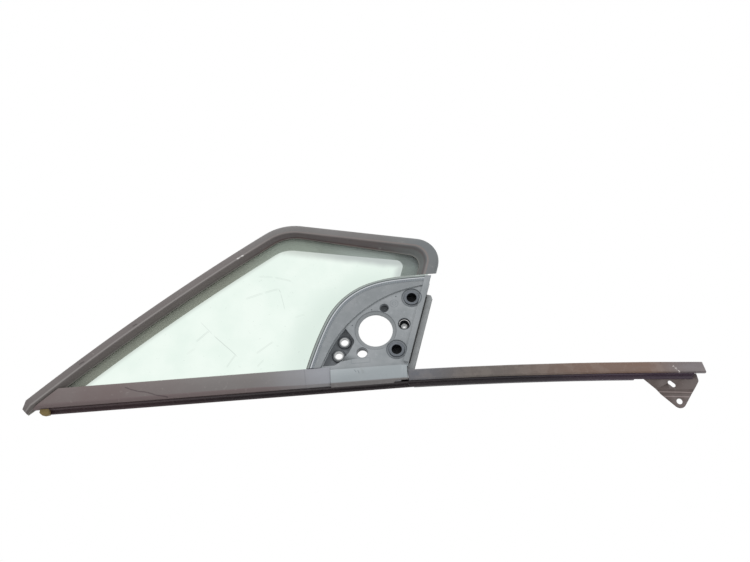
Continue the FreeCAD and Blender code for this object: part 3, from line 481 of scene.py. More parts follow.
def sill_rubber():
    """Sill moulding: brownish at the front tip and bluish by the mirror base, where the bluish grey is a
    painted reflection, with a crack.
    """
    s = Shader("sill_rubber")
    cloud = s.noise(16.0, 4.0, 0.6)
    fine = s.noise(180.0, 3.0, 0.6)
    base = s.mix(s.ramp(s.x, -0.42, -0.22), srgb(113, 101, 100), srgb(119, 115, 114))
    # Painted reflection: bluish grey towards the mirror base
    base = s.mix(s.ramp(s.x, -0.20, -0.08), base, srgb(149, 151, 157))
    base = s.mix(s.times(s.ramp(cloud, 0.35, 0.7), 0.3), base, srgb(128, 124, 122))
    under = s.mix(s.ramp(s.x, -0.18, -0.09), srgb(112, 99, 99), srgb(128, 126, 127))
    turned = s.calc("ADD", s.z, s.ramp(s.x, -0.20, -0.10, 0.0, 0.0022))
    base = s.mix(s.ramp(turned, -0.0792, -0.0775, 0.85, 0.0), base, under)
    course = [(-0.3845, -0.0620), (-0.3771, -0.0656), (-0.3648, -0.0699), (-0.3502, -0.0728),
              (-0.3380, -0.0778), (-0.3187, -0.0824)]
    crack = s.join([s.stroke(a, b, 0.0012, 0.002, 0.03) for a, b in zip(course, course[1:])])
    base = s.mix(s.times(crack, 0.75), base, srgb(72, 62, 64))
    seam = s.stroke((-0.1125, -0.0540), (-0.1105, -0.0850), 0.0012, 0.0, 0.02)
    base = s.mix(s.times(seam, 0.35), base, srgb(112, 112, 116))
    base = s.mix(s.times(s.ramp(fine, 0.6, 0.74), 0.12), base, srgb(190, 186, 182))
    height = s.calc("SUBTRACT", s.noise(800.0, 2.0, 0.5), s.times(crack, 1.5))
    normal = s.bump(height, 0.12, 0.0004)
    s.surface(base, s.ramp(fine, 0.2, 0.8, 0.46, 0.62), normal, Specular_IOR_Level=0.3)
    return s.material


def base_plastic():
    """Grey moulded plastic of the mirror base with random grime; painted shade darkens its recesses, the
    edges of its seats and holes, the bosses in its pocket and the insert's cone.
    """
    s = Shader("base_plastic")
    cloud = s.noise(26.0, 4.0, 0.6)
    fine = s.noise(210.0, 3.0, 0.6)
    base = s.mix(s.ramp(cloud, 0.35, 0.68), srgb(139, 144, 147), srgb(150, 154, 157))
    hub = s.near(HUB)
    upper = s.near(UPPER_BUSH)
    lower = s.near(LOWER_BUSH)
    insert = s.near(INSERT)
    badge = s.near(BADGE)
    sleeves = [s.near(centre) for centre in SLEEVES]
    front = s.ramp(s.y, -0.0002, 0.0004, 1.0, 0.0)
    seats = s.join([s.inside(upper, 0.0148, 0.0153), s.inside(lower, 0.0148, 0.0153)])
    base = s.mix(s.times(seats, 0.5), base, srgb(112, 118, 124))
    base = s.mix(s.inside(hub, 0.0314, 0.0320, 0.45), base, srgb(118, 122, 124))
    base = s.mix(s.ramp(s.z, -0.062, -0.058, 1.0, 0.0), base,
                 s.mix(cloud, srgb(152, 160, 164), srgb(160, 166, 169)))
    base = s.mix(s.ramp(s.z, -0.0822, -0.0800, 0.9, 0.0), base, srgb(112, 107, 106))
    # Painted shade: dark lines at the edges of the seats, bushes and holes
    edge_shade_lines = s.join([s.ring(upper, 0.0153, 0.0011), s.ring(lower, 0.0153, 0.0011),
                       s.ring(upper, 0.0121, 0.0007), s.ring(lower, 0.0121, 0.0007),
                       s.ring(insert, 0.0096, 0.0007), s.ring(s.near(BLIND_HOLE), 0.0069, 0.0008),
                       s.ring(s.near(DRAIN_HOLE), 0.0082, 0.0007),
                       s.times(s.ring(hub, 0.0319, 0.0008), 0.5)])
    base = s.mix(s.times(s.times(edge_shade_lines, front), 0.7), base, srgb(62, 68, 75))
    # Plain relief: two rings and the outline of a bare field
    field = [(-0.0404, -0.0515), (-0.0120, -0.0512), (-0.0117, -0.0440), (-0.0404, -0.0440)]
    sides = [s.stroke(a, b, 0.0006, 0.0, 0.03) for a, b in zip(field, field[1:] + field[:1])]
    faint = s.join([s.ring(badge, 0.0062, 0.0006), s.ring(badge, 0.0030, 0.0005)] + sides)
    faint = s.times(faint, front)
    base = s.mix(s.times(faint, 0.5), base, srgb(104, 110, 116))
    pins = s.join([s.inside(s.near(centre), 0.0008, 0.0013) for centre in PIN_MARKS])
    base = s.mix(s.times(pins, 0.8), base, srgb(48, 53, 60))
    dents = s.join([s.stroke((-0.0371, -0.0620), (-0.0337, -0.0672), 0.0008, 0.001),
                    s.stroke((-0.0315, -0.0634), (-0.0291, -0.0696), 0.0008, 0.001)])
    base = s.mix(s.times(dents, 0.6), base, srgb(96, 102, 108))
    # Painted shade: recesses darker the deeper they lie
    deep = s.ramp(s.y, 0.0004, 0.0040)
    base = s.mix(s.times(deep, 0.6), base, srgb(62, 66, 72))
    # Painted shade: dark rings round the bosses deep in the pocket
    boss_shade_rings = s.join([s.ring(sleeve, radius, width) for sleeve in sleeves
                     for radius, width in ((0.0099, 0.0014), (0.0074, 0.0010))])
    base = s.mix(s.times(s.times(boss_shade_rings, s.ramp(s.y, 0.002, 0.004)), 0.75), base,
                 srgb(30, 33, 38))
    base = s.mix(s.times(s.ramp(fine, 0.58, 0.72), 0.16), base, srgb(182, 187, 190))
    grime = s.times(s.ramp(s.noise(60.0, 6.0, 0.75), 0.56, 0.72), 0.3)
    base = s.mix(grime, base, srgb(112, 114, 112))
    # Painted shade: the insert's cone painted black
    hole = s.times(s.inside(insert, 0.0090, 0.0094), s.ramp(s.y, -0.0013, -0.0009))
    base = s.mix(hole, base, srgb(22, 25, 29))
    marks = s.calc("ADD", pins, dents)
    height = s.calc("SUBTRACT", s.noise(900.0, 2.0, 0.5), s.times(marks, 2.0))
    normal = s.bump(height, 0.1, 0.0004)
    normal = s.bump(cloud, 0.15, 0.0015, normal)
    s.surface(base, s.ramp(fine, 0.2, 0.8, 0.42, 0.6), normal, Specular_IOR_Level=0.35)
    return s.material


def rim_plastic():
    """Rim of the mirror base: a pale lip, a groove with painted shade, a bead with a painted highlight and
    a finely ribbed strip.
    """
    s = Shader("rim_plastic")
    uv = s.add("ShaderNodeUVMap", {"uv_map": "profile"})
    parts = s.add("ShaderNodeSeparateXYZ", Vector=uv.outputs[0])
    lip = [(0.0, srgb(110, 117, 116)), (0.06, srgb(146, 155, 152)), (0.28, srgb(136, 144, 142))]
    # Painted shade in the groove
    groove = [(0.33, srgb(40, 45, 48)), (0.40, srgb(38, 43, 46))]
    # Painted highlight on the bead
    bead = [(0.44, srgb(196, 200, 205)), (0.60, srgb(206, 209, 214))]
    strip = [(0.645, srgb(104, 110, 116)), (0.68, srgb(126, 132, 138)), (0.94, srgb(132, 138, 144)),
             (1.0, srgb(150, 155, 160))]
    colour = s.stops(parts.outputs[1], lip + groove + bead + strip)
    rib = s.calc("SINE", s.times(parts.outputs[0], 2 * math.pi / RIB_PITCH))
    zone = s.band(parts.outputs[1], 0.62, 0.66, 0.88, 0.93)
    ribs = s.times(s.ramp(rib, -0.2, 0.6), zone)
    colour = s.mix(s.times(ribs, 0.7), colour, srgb(92, 97, 104))
    cloud = s.noise(30.0, 4.0, 0.6)
    colour = s.mix(s.times(s.ramp(cloud, 0.4, 0.7), 0.25), colour, srgb(150, 160, 158))
    fine = s.noise(210.0, 3.0, 0.6)
    normal = s.bump(ribs, 0.3, 0.0004)
    s.surface(colour, s.ramp(fine, 0.2, 0.8, 0.36, 0.54), normal, Specular_IOR_Level=0.4)
    return s.material


def strip_paint():
    """Waist strip: bluish grey at the base, brown towards its rear end, with a few chips near that end."""
    s = Shader("strip_paint")
    streak = s.noise(20.0, 4.0, 0.65, stretch=ALONG)
    fine = s.noise(260.0, 3.0, 0.6)
    base = s.mix(s.ramp(s.x, 0.05, 0.15), srgb(97, 99, 105), srgb(96, 90, 86))
    base = s.mix(s.ramp(s.x, 0.16, 0.34), base, srgb(113, 90, 78))
    base = s.mix(s.ramp(s.x, 0.40, 0.47), base, srgb(104, 96, 98))
    base = s.mix(s.times(s.ramp(streak, 0.35, 0.75), 0.3), base, srgb(116, 105, 99))
    base = s.mix(s.times(s.ramp(fine, 0.58, 0.72), 0.18), base, srgb(156, 146, 140))
    edge = s.ramp(s.noise(55.0, 3.0, 0.6), 0.45, 0.6)
    low = s.times(s.ramp(s.y, -0.02, 0.0), edge)
    base = s.mix(s.times(low, 0.1), base, srgb(170, 160, 152))
    scrape = s.stroke((0.4440, -0.0890), (0.4550, -0.1029), 0.0016, 0.003, 0.1)
    chips = s.join([s.stroke((0.4318, -0.1018), (0.4390, -0.1028), 0.0024, 0.001, 0.1),
                    s.stroke((0.4517, -0.1030), (0.4582, -0.1044), 0.0024, 0.001, 0.1),
                    s.times(scrape, s.ramp(s.noise(600.0, 2.0, 0.6), 0.5, 0.58))])
    base = s.mix(chips, base, srgb(228, 222, 218))
    normal = s.bump(s.noise(420.0, 2.0, 0.5), 0.1, 0.0003)
    s.surface(base, s.ramp(streak, 0.2, 0.8, 0.34, 0.5), normal, Specular_IOR_Level=0.42)
    return s.material


def bracket_paint():
    """Bracket: brownish painted steel, lighter along its two bends, with a painted shadow of the waist
    strip across its top.
    """
    s = Shader("bracket_paint")
    streak = s.noise(30.0, 4.0, 0.65)
    fine = s.noise(260.0, 3.0, 0.6)
    base = s.mix(s.ramp(streak, 0.35, 0.7), srgb(88, 77, 74), srgb(99, 88, 85))
    # Painted shadow of the waist strip across the bracket's top
    base = s.mix(s.ramp(s.z, -0.110, -0.102, 0.0, 0.6), base, srgb(60, 50, 56))
    # Lighter along the two bends
    bends = s.join([s.stroke((0.4034, -0.1234), (0.4728, -0.1290), 0.0011, 0.001, 0.03),
                    s.stroke((0.4103, -0.1305), (0.4665, -0.1350), 0.0011, 0.001, 0.03)])
    base = s.mix(s.times(bends, s.ramp(streak, 0.1, 0.6, 0.45, 0.8)), base, srgb(150, 136, 134))
    base = s.mix(s.times(s.ramp(fine, 0.58, 0.72), 0.2), base, srgb(140, 130, 126))
    normal = s.bump(s.noise(420.0, 2.0, 0.5), 0.1, 0.0003)
    s.surface(base, s.ramp(streak, 0.2, 0.8, 0.36, 0.52), normal, Specular_IOR_Level=0.4)
    return s.material


def rail_paint():
    """Black channel and rail: a purple tinge towards the rear, which is a painted reflection, and a thin
    painted highlight along the hem.
    """
    s = Shader("rail_paint")
    streak = s.noise(24.0, 4.0, 0.65, stretch=ALONG)
    fine = s.noise(260.0, 3.0, 0.6)
    base = s.mix(s.ramp(s.x, -0.42, -0.15), srgb(58, 42, 45), srgb(36, 30, 33))
    base = s.mix(s.ramp(s.x, 0.05, 0.20), base, srgb(38, 34, 39))
    # Painted reflection: a purple tinge towards the rear
    base = s.mix(s.ramp(s.x, 0.20, 0.36), base, srgb(64, 50, 64))
    base = s.mix(s.times(s.ramp(streak, 0.4, 0.75), 0.35), base, srgb(70, 58, 62))
    # Painted highlight: a thin lighter line along the bottom of the hem
    low = s.times(s.ramp(s.z, -0.0915, -0.0905, 1.0, 0.0), s.ramp(s.x, 0.03, 0.05, 1.0, 0.0))
    base = s.mix(s.times(low, 0.45), base, srgb(92, 72, 72))
    base = s.mix(s.times(s.ramp(fine, 0.58, 0.72), 0.2), base, srgb(110, 100, 100))
    normal = s.bump(s.noise(420.0, 2.0, 0.5), 0.1, 0.0003)
    s.surface(base, s.ramp(streak, 0.2, 0.8, 0.36, 0.52), normal, Specular_IOR_Level=0.35)
    return s.material


def bush_plastic():
    """Mirror bush: a grey flange and a black cup."""
    s = Shader("bush_plastic")
    fine = s.noise(300.0, 3.0, 0.6)
    ring = s.mix(s.ramp(fine, 0.3, 0.7), srgb(96, 101, 107), srgb(112, 117, 123))
    cup = s.mix(s.ramp(fine, 0.3, 0.7), srgb(24, 27, 31), srgb(32, 35, 40))
    base = s.mix(s.ramp(s.y, -0.00215, -0.00195), ring, cup)
    s.surface(base, s.ramp(fine, 0.2, 0.8, 0.4, 0.6), s.bump(fine, 0.1, 0.0003), Specular_IOR_Level=0.3)
    return s.material


# Meshes

def new_piece(name, mesh, material, slot, *nodes):
    """Links a mesh as a piece on the body, with its material and the nodes it stands for. The slot is not
    used.
    """
    piece = bpy.data.objects.new(name, mesh)
    bpy.context.collection.objects.link(piece)
    mesh.materials.clear()
    mesh.materials.append(material)
    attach(piece, BODY)
    if nodes:
        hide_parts(*nodes)
    return piece


def mesh_of(bm, name):
    """Finished mesh from a working one."""
    mesh = bpy.data.meshes.new(name)
    bm.to_mesh(mesh)
    bm.free()
    return mesh


def apply_modifiers(piece):
    """Bakes a piece's modifiers into its mesh."""
    graph = bpy.context.evaluated_depsgraph_get()
    mesh = bpy.data.meshes.new_from_object(piece.evaluated_get(graph))
    piece.modifiers.clear()
    piece.data = mesh


def shade(mesh, angle=35.0):
    """Smooth shading with sharp edges above an angle."""
    mesh.polygons.foreach_set("use_smooth", [True] * len(mesh.polygons))
    mesh.set_sharp_from_angle(angle=math.radians(angle))


def raked(s, t):
    """Point from its distances across and up the raked rear edge, in millimetres."""
    return (s * math.cos(RAKE) + t * math.sin(RAKE), t * math.cos(RAKE) - s * math.sin(RAKE))


def arc_points(centre, radius, start, end, count):
    """Points of an arc the short way round."""
    a0 = math.atan2(start[1] - centre[1], start[0] - centre[0])
    a1 = math.atan2(end[1] - centre[1], end[0] - centre[0])
    turn = (a1 - a0 + math.pi) % (2 * math.pi) - math.pi
    turns = [a0 + turn * i / count for i in range(count + 1)]
    return [(centre[0] + radius * math.cos(a), centre[1] + radius * math.sin(a)) for a in turns]


def line_points(start, end, count, last):
    """Points on a straight line cut into equal steps, from the first step to the last one wanted."""
    return [(start[0] + (end[0] - start[0]) * i / count, start[1] + (end[1] - start[1]) * i / count)
            for i in range(1, last + 1)]


def slant_circle():
    """Centre and radius of the bowed sloping edge, in millimetres."""
    dx = SLANT_HEAD[0] - SLANT_FOOT[0]
    dz = SLANT_HEAD[1] - SLANT_FOOT[1]
    chord = math.hypot(dx, dz)
    big = chord ** 2 / (8 * SLANT_BOW) + SLANT_BOW / 2
    reach = big - SLANT_BOW
    return ((SLANT_FOOT[0] + SLANT_HEAD[0]) / 2 + dz / chord * reach,
            (SLANT_FOOT[1] + SLANT_HEAD[1]) / 2 - dx / chord * reach, big)


def frame_path(insets, low=-130.0):
    """Points of x and z along the frame, from the front tip over the top and down the rear edge."""
    n_slope, n_top_a, n_top_b, n_rear, r_front, r_rear = insets
    cx, cz, big = slant_circle()
    big = big - n_slope
    slope = math.atan2(TOP_RIGHT[1] - TOP_LEFT[1], TOP_RIGHT[0] - TOP_LEFT[0])
    inward = (math.sin(slope), -math.cos(slope))
    a = (TOP_LEFT[0] + inward[0] * n_top_a, TOP_LEFT[1] + inward[1] * n_top_a)
    b = (TOP_RIGHT[0] + inward[0] * n_top_b, TOP_RIGHT[1] + inward[1] * n_top_b)
    length = math.hypot(b[0] - a[0], b[1] - a[1])
    top = ((b[0] - a[0]) / length, (b[1] - a[1]) / length)
    down = (top[1], -top[0])
    start = (a[0] + down[0] * r_front, a[1] + down[1] * r_front)
    px, pz = start[0] - cx, start[1] - cz
    half = px * top[0] + pz * top[1]
    gap = px ** 2 + pz ** 2 - (big - r_front) ** 2
    along = -half + math.sqrt(half ** 2 - gap)
    if start[0] + top[0] * along > 0:
        along = -half - math.sqrt(half ** 2 - gap)
    front = (start[0] + top[0] * along, start[1] + top[1] * along)
    size = math.hypot(front[0] - cx, front[1] - cz)
    on_slope = (cx + (front[0] - cx) / size * big, cz + (front[1] - cz) / size * big)
    on_top_a = (front[0] - down[0] * r_front, front[1] - down[1] * r_front)
    rear_s = REAR_LINE - n_rear
    up = (math.sin(RAKE), math.cos(RAKE))
    line = raked(rear_s - r_rear, 0.0)
    lifted = (a[0] + down[0] * r_rear, a[1] + down[1] * r_rear)
    cross = up[0] * top[1] - up[1] * top[0]
    step = ((lifted[0] - line[0]) * top[1] - (lifted[1] - line[1]) * top[0]) / cross
    rear = (line[0] + up[0] * step, line[1] + up[1] * step)
    on_top_b = (rear[0] - down[0] * r_rear, rear[1] - down[1] * r_rear)
    on_rear = (rear[0] + r_rear * math.cos(RAKE), rear[1] - r_rear * math.sin(RAKE))
    foot = raked(rear_s, 0.0)
    drop = (foot[1] - low) / up[1]
    foot = (foot[0] - up[0] * drop, low)
    slope_low = (cx - math.sqrt(big ** 2 - (low - cz) ** 2), low)
    points = arc_points((cx, cz), big, slope_low, on_slope, 44)
    points += arc_points(front, r_front, on_slope, on_top_a, 22)[1:]
    points += line_points(on_top_a, on_top_b, 12, 11)
    points += arc_points(rear, r_rear, on_top_b, on_rear, 22)
    points += line_points(on_rear, foot, 16, 16)
    return points


def rounded_section(corners):
    """Section with its corners rounded: rows of seven numbers, the six insets and the depth."""
    rows = [np.array(insets + (y,)) for insets, y, _ in corners]
    count = len(rows)
    out = []
    marks = []
    for i, (_, _, radius) in enumerate(corners):
        here = rows[i]
        back = rows[i - 1] - here
        ahead = rows[(i + 1) % count] - here
        back_size = math.hypot(back[1], back[6])
        ahead_size = math.hypot(ahead[1], ahead[6])
        cut_back = min(radius, back_size * 0.45) / back_size
        cut_ahead = min(radius, ahead_size * 0.45) / ahead_size
        start = here + back * cut_back
        end = here + ahead * cut_ahead
        steps = 5 if radius > 1.0 else 3
        for k in range(steps + 1):
            t = k / steps
            out.append(start * (1 - t) ** 2 + here * 2 * t * (1 - t) + end * t ** 2)
            marks.append((i + 0.5 + (t - 0.5) * 0.5) / count)
    return out, marks


def frame_seal():
    """Moulded frame swept round the window, with a soft crown, a sloping band and a lip on the glass."""
    section, marks = rounded_section(SECTION)
    rows = [(frame_path(tuple(row[:6])), row[6]) for row in section]
    bm = bmesh.new()
    uv = bm.loops.layers.uv.new("profile")
    grid = [[bm.verts.new((x * MM, y * MM, z * MM)) for x, z in path] for path, y in rows]
    travel = [0.0]
    spine = rows[0][0]
    for p, q in zip(spine, spine[1:]):
        travel.append(travel[-1] + math.hypot(q[0] - p[0], q[1] - p[1]) * MM)
    total = len(rows)
    marks.append(marks[0] + 1.0)
    for j in range(total):
        for i in range(len(spine) - 1):
            k = (j + 1) % total
            face = bm.faces.new((grid[j][i], grid[k][i], grid[k][i + 1], grid[j][i + 1]))
            for loop, (u, v) in zip(face.loops, ((i, j), (i, j + 1), (i + 1, j + 1), (i + 1, j))):
                loop[uv].uv = (travel[u], marks[v])
    bm.faces.new([grid[j][0] for j in range(total)])
    bm.faces.new([grid[j][-1] for j in reversed(range(total))])
    bmesh.ops.recalc_face_normals(bm, faces=bm.faces)
    # Rear end, cut off aslant
    rear = [v for v in bm.verts if v.co.x > TOP_LEFT[0] * MM * 0.5]
    cut_to(bm, touching(rear), (0.0, -4.0 * MM, REAR_END_Z * MM), (0.0, 20.0, -44.0))
    # Tail, cut off along its slanting line
    front = [v for v in bm.verts if v.co.x < SLANT_HEAD[0] * MM]
    (x0, z0), (x1, z1) = TAIL_LINE
    cut_to(bm, touching(front), (x0 * MM, 0.0, z0 * MM), (z1 - z0, 0.0, -(x1 - x0)))
    # Tail: the cut face drawn out to a smaller one
    away = Vector((z1 - z0, 0.0, -(x1 - x0))).normalized()
    start = Vector((x0, 0.0, z0)) * MM
    ends = [f for f in bm.faces if abs(f.normal.dot(away)) > 0.999
            and max(abs((v.co - start).dot(away)) for v in f.verts) < 1e-5]
    drawn = bmesh.ops.extrude_face_region(bm, geom=ends)
    moved = [item for item in drawn["geom"] if isinstance(item, bmesh.types.BMVert)]
    bmesh.ops.delete(bm, geom=ends, context="FACES_ONLY")
    middle = sum((v.co for v in moved), Vector()) / len(moved)
    (x0, z0), (x1, z1) = TAIL_END
    goal = Vector(((x0 + x1) / 2, TAIL_DEPTH, (z0 + z1) / 2)) * MM
    for v in moved:
        v.co = goal + (v.co - middle) * TAIL_SHARE
    # No point of the tail lies before its end line
    over = min(v.co.x for v in moved) - TAIL_END[0][0] * MM
    for v in moved:
        v.co.x -= min(over, 0.0)
    return mesh_of(bm, "moulded_frame")


def touching(verts):
    """Points with the edges and faces that meet at them."""
    geometry = set(verts)
    for v in verts:
        geometry.update(v.link_edges)
        geometry.update(v.link_faces)
    return list(geometry)


def whole(bm):
    """All points, edges and faces of a mesh."""
    return list(bm.verts) + list(bm.edges) + list(bm.faces)


def cut_to(bm, geometry, point, outward):
    """Cuts a mesh by a plane, throws away what lies beyond it and closes the cut."""
    normal = Vector(outward).normalized()
    result = bmesh.ops.bisect_plane(bm, geom=geometry, plane_co=point, plane_no=normal, clear_outer=True,
                                    dist=1e-7)
    edges = [e for e in result["geom_cut"] if isinstance(e, bmesh.types.BMEdge)]
    bmesh.ops.holes_fill(bm, edges=edges, sides=0)


def cutter_mesh():
    """Prism inside the sill line, which ends the frame's inner parts at the sill."""
    edge = [p for p in frame_path(SILL_CUT, -150.0) if p[0] < 0]
    below = [p for p in edge if p[1] < SILL_TOP]
    above = edge[len(below)]
    last = below[-1]
    t = (SILL_TOP - last[1]) / (above[1] - last[1])
    outline = below + [(last[0] + (above[0] - last[0]) * t, SILL_TOP), (200.0, SILL_TOP), (200.0, -150.0)]
    bm = bmesh.new()
    a = [bm.verts.new((x * MM, -0.03, z * MM)) for x, z in outline]
    b = [bm.verts.new((x * MM, 0.06, z * MM)) for x, z in outline]
    bm.faces.new(a)
    bm.faces.new(b[::-1])
    for i in range(len(a)):
        bm.faces.new((a[i - 1], b[i - 1], b[i], a[i]))
    bmesh.ops.recalc_face_normals(bm, faces=bm.faces)
    return mesh_of(bm, "sill_cutter")


def pane():
    """Copy of the CAD pane cut into small faces, so that no long thin triangle is left in it."""
    bm = bmesh.new()
    bm.from_mesh(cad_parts["quarter_glass"].data)
    bmesh.ops.remove_doubles(bm, verts=bm.verts, dist=1e-6)
    bmesh.ops.dissolve_limit(bm, angle_limit=math.radians(0.6), verts=bm.verts, edges=bm.edges)
    for axis, first, last in ((0, -0.54, 0.08), (2, -0.08, 0.19)):
        count = int((last - first) / PANE_CELL)
        for i in range(count + 1):
            point = [0.0, 0.0, 0.0]
            point[axis] = first + PANE_CELL * i + 0.0007
            normal = [0.0, 0.0, 0.0]
            normal[axis] = 1.0
            bmesh.ops.bisect_plane(bm, geom=whole(bm), plane_co=point, plane_no=normal, dist=1e-6)
    return mesh_of(bm, "glass_pane")


def natural_curve(knots, per_span):
    """Points along the smooth line through a few knots."""
    pts = np.array(knots)
    steps = np.hypot(*np.diff(pts, axis=0).T)
    size = len(pts)
    system = np.zeros((size, size))
    right = np.zeros((size, 2))
    system[0, 0] = 1.0
    system[-1, -1] = 1.0
    for i in range(1, size - 1):
        system[i, i - 1] = steps[i - 1]
        system[i, i] = 2 * (steps[i - 1] + steps[i])
        system[i, i + 1] = steps[i]
        right[i] = 6 * ((pts[i + 1] - pts[i]) / steps[i] - (pts[i] - pts[i - 1]) / steps[i - 1])
    bend = np.linalg.solve(system, right)
    out = []
    for i in range(size - 1):
        h = steps[i]
        for k in range(per_span):
            a = h * (1 - k / per_span)
            b = h - a
            out.append(bend[i] * a ** 3 / (6 * h) + bend[i + 1] * b ** 3 / (6 * h)
                       + (pts[i] / h - bend[i] * h / 6) * a + (pts[i + 1] / h - bend[i + 1] * h / 6) * b)
    out.append(pts[-1])
    return np.array(out)


def base_rim():
    """Profile swept along the rounded rim of the mirror base."""
    path = natural_curve(BASE_ARC, 24)
    lean = np.gradient(path, axis=0)
    lean = lean / np.hypot(lean[:, 0], lean[:, 1])[:, None]
    inward = np.stack([lean[:, 1], -lean[:, 0]], axis=1)
    lip = [(0.15, -2.7), (0.25, -3.25), (0.8, -3.55), (2.8, -3.55), (3.3, -3.35)]
    groove = [(3.45, -3.06), (4.0, -3.06)]
    bead = [(4.15, -3.45), (4.7, -3.8), (5.5, -3.8), (6.1, -3.45)]
    strip = [(6.4, -3.85), (9.3, -3.85), (9.7, -3.5), (10.0, -2.7)]
    section = lip + groove + bead + strip
    keep = []
    for point, side in zip(path, inward):
        along = point[0] * math.cos(RAKE) - point[1] * math.sin(RAKE)
        if along < RIM_SIDE_END and point[1] > SILL_TOP - RIM_OVERLAP:
            keep.append((point, side))
    bm = bmesh.new()
    uv = bm.loops.layers.uv.new("profile")
    travel = [0.0]
    for (p, _), (q, _) in zip(keep, keep[1:]):
        travel.append(travel[-1] + math.hypot(q[0] - p[0], q[1] - p[1]) * MM)
    grid = [[bm.verts.new(((p[0] + n[0] * inset) * MM, y * MM, (p[1] + n[1] * inset) * MM))
             for inset, y in section] for p, n in keep]
    last = len(section) - 1
    for i in range(len(keep) - 1):
        for j in range(last):
            face = bm.faces.new((grid[i][j], grid[i + 1][j], grid[i + 1][j + 1], grid[i][j + 1]))
            corners = ((i, j), (i + 1, j), (i + 1, j + 1), (i, j + 1))
            for loop, (a, b) in zip(face.loops, corners):
                loop[uv].uv = (travel[a], section[b][0] / section[last][0])
        bm.faces.new((grid[i][0], grid[i][last], grid[i + 1][last], grid[i + 1][0]))
    bm.faces.new(grid[0])
    bm.faces.new(grid[-1][::-1])
    bmesh.ops.recalc_face_normals(bm, faces=bm.faces)
    cut_to(bm, whole(bm), (0.0, 0.0, (SILL_TOP + 0.1) * MM), (0.0, 0.0, -1.0))
    return mesh_of(bm, "base_rim")


def round_tube(centre, outer, inner, y0, y1, sides=48):
    """Round wall across the depth."""
    bm = bmesh.new()
    turns = [2 * math.pi * i / sides for i in range(sides)]
    rings = []
    for radius, y in ((outer, y0), (outer, y1), (inner, y1), (inner, y0)):
        rings.append([bm.verts.new(((centre[0] + radius * math.cos(turn)) * MM, y * MM,
                                    (centre[1] + radius * math.sin(turn)) * MM)) for turn in turns])
    for k in range(4):
        a = rings[k]
        b = rings[(k + 1) % 4]
        for i in range(sides):
            j = (i + 1) % sides
            bm.faces.new((a[i], a[j], b[j], b[i]))
    bmesh.ops.recalc_face_normals(bm, faces=bm.faces)
    return mesh_of(bm, "round_tube")


def softened(node, name, material, slot, width, segments=2, angle=28.0, merge=True, ends=()):
    """Copy of a CAD node with its edges rounded, which stands for it. Ends move from one x to another."""
    bm = bmesh.new()
    bm.from_mesh(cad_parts[node].data)
    bmesh.ops.remove_doubles(bm, verts=bm.verts, dist=1e-6)
    for old, new in ends:
        for v in bm.verts:
            if abs(v.co.x - old * MM) < 0.05 * MM:
                v.co.x = new * MM
    if merge:
        bmesh.ops.dissolve_limit(bm, angle_limit=math.radians(0.6), verts=bm.verts, edges=bm.edges)
    piece = new_piece(name, mesh_of(bm, name), material, slot, node)
    bevel = piece.modifiers.new("edges", "BEVEL")
    bevel.width = width * MM
    bevel.segments = segments
    bevel.limit_method = "ANGLE"
    bevel.angle_limit = math.radians(angle)
    bevel.use_clamp_overlap = False
    apply_modifiers(piece)
    shade(piece.data)


# The scene

make_camera()
make_world(0.55)
area_lamp("key_lamp", (-0.5, -1.1, 2.3), (0.0, 0.0, 0.0), 1.2, 36.0)
area_lamp("fill_lamp", (1.9, -1.6, 0.4), (0.0, 0.0, 0.0), 1.0, 12.0)
bpy.context.scene.view_settings.view_transform = "Standard"

FLOOR_HALF = 3.0
FLOOR_Z = -0.78
floor_corners = ((-1, -1), (1, -1), (1, 1), (-1, 1))
floor_mesh = bpy.data.meshes.new("floor")
floor_mesh.from_pydata([(x * FLOOR_HALF, y * FLOOR_HALF, FLOOR_Z) for x, y in floor_corners], [],
                       [(0, 1, 2, 3)])
floor = bpy.data.objects.new("floor", floor_mesh)
bpy.context.collection.objects.link(floor)
pale = Shader("floor_white")
pale.surface(pale.mix(pale.noise(3.0, 3.0), srgb(236, 236, 236), srgb(244, 244, 244)), 0.8)
floor_mesh.materials.append(pale.material)

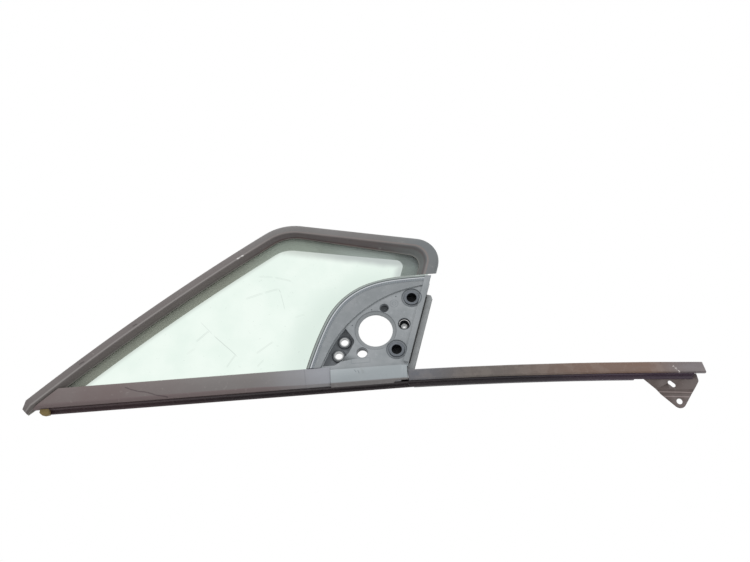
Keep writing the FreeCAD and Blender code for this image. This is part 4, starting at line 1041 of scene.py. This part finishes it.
finishes = {
    "green_glass": glass_material(),
    "frame_rubber": frame_rubber(),
    "black_rubber": moulded("black_rubber_skin", srgb(52, 52, 52), 1200.0, 0.1, 0.6),
    "gasket_rubber": moulded("gasket_skin", srgb(120, 122, 116), 1200.0, 0.1, 0.55),
    "foam": moulded("foam_skin", srgb(128, 112, 76), 500.0, 0.6, 0.85, 0.3, 0.1),
    "base_plastic": base_plastic(),
    "black_plastic": bush_plastic(),
    "zinc_steel": painted("zinc_skin", srgb(170, 172, 172), 0.3, 0.5, 0.1, metallic=0.8),
    "grey_steel": painted("guide_skin", srgb(148, 151, 152), 0.42, 0.4, 0.08),
    "dark_steel": rail_paint(),
    "strip_finish": strip_paint(),
    "bracket_steel": bracket_paint(),
}
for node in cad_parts.values():
    for place in node.material_slots:
        place.material = finishes.get(place.material.name.split(".")[0], place.material)

seal = new_piece("moulded_frame", frame_seal(), finishes["frame_rubber"], "frame_rubber",
                 "glass_frame_seal")
cutter = bpy.data.objects.new("sill_cutter", cutter_mesh())
bpy.context.collection.objects.link(cutter)
cut = seal.modifiers.new("sill", "BOOLEAN")
cut.operation = "DIFFERENCE"
cut.solver = "EXACT"
cut.object = cutter
apply_modifiers(seal)
bpy.data.objects.remove(cutter)
shade(seal.data, 40.0)

glass = new_piece("glass_pane", pane(), finishes["green_glass"], "green_glass", "quarter_glass")
# The pane's shadow is too faint to see, and without it the lip behind the pane renders with less grain
glass.visible_shadow = False
glass.visible_diffuse = False
rim = new_piece("mirror_base_rim", base_rim(), rim_plastic(), "base_plastic")
shade(rim.data, 30.0)
drain = new_piece("drain_hole_wall", round_tube(DRAIN_HOLE, 9.6, 8.05, 1.4, 11.0),
                  finishes["base_plastic"], "base_plastic")
shade(drain.data, 30.0)
softened("sill_channel", "sill_channel_skin", finishes["dark_steel"], "dark_steel", 0.2, merge=False,
         ends=((42.5, 44.0), (50.5, 52.2)))
softened("belt_rail", "belt_rail_skin", finishes["dark_steel"], "dark_steel", 0.25, merge=False)
softened("mirror_base", "mirror_base_skin", finishes["base_plastic"], "base_plastic", 0.3, merge=False)
softened("sill_moulding", "sill_moulding_skin", sill_rubber(), "frame_rubber", 0.4)
softened("waist_strip", "waist_strip_skin", finishes["strip_finish"], "strip_finish", 0.35)
softened("end_bracket", "end_bracket_skin", finishes["bracket_steel"], "bracket_steel", 0.25, merge=False)
softened("guide_channel", "guide_channel_skin", finishes["grey_steel"], "grey_steel", 0.3)
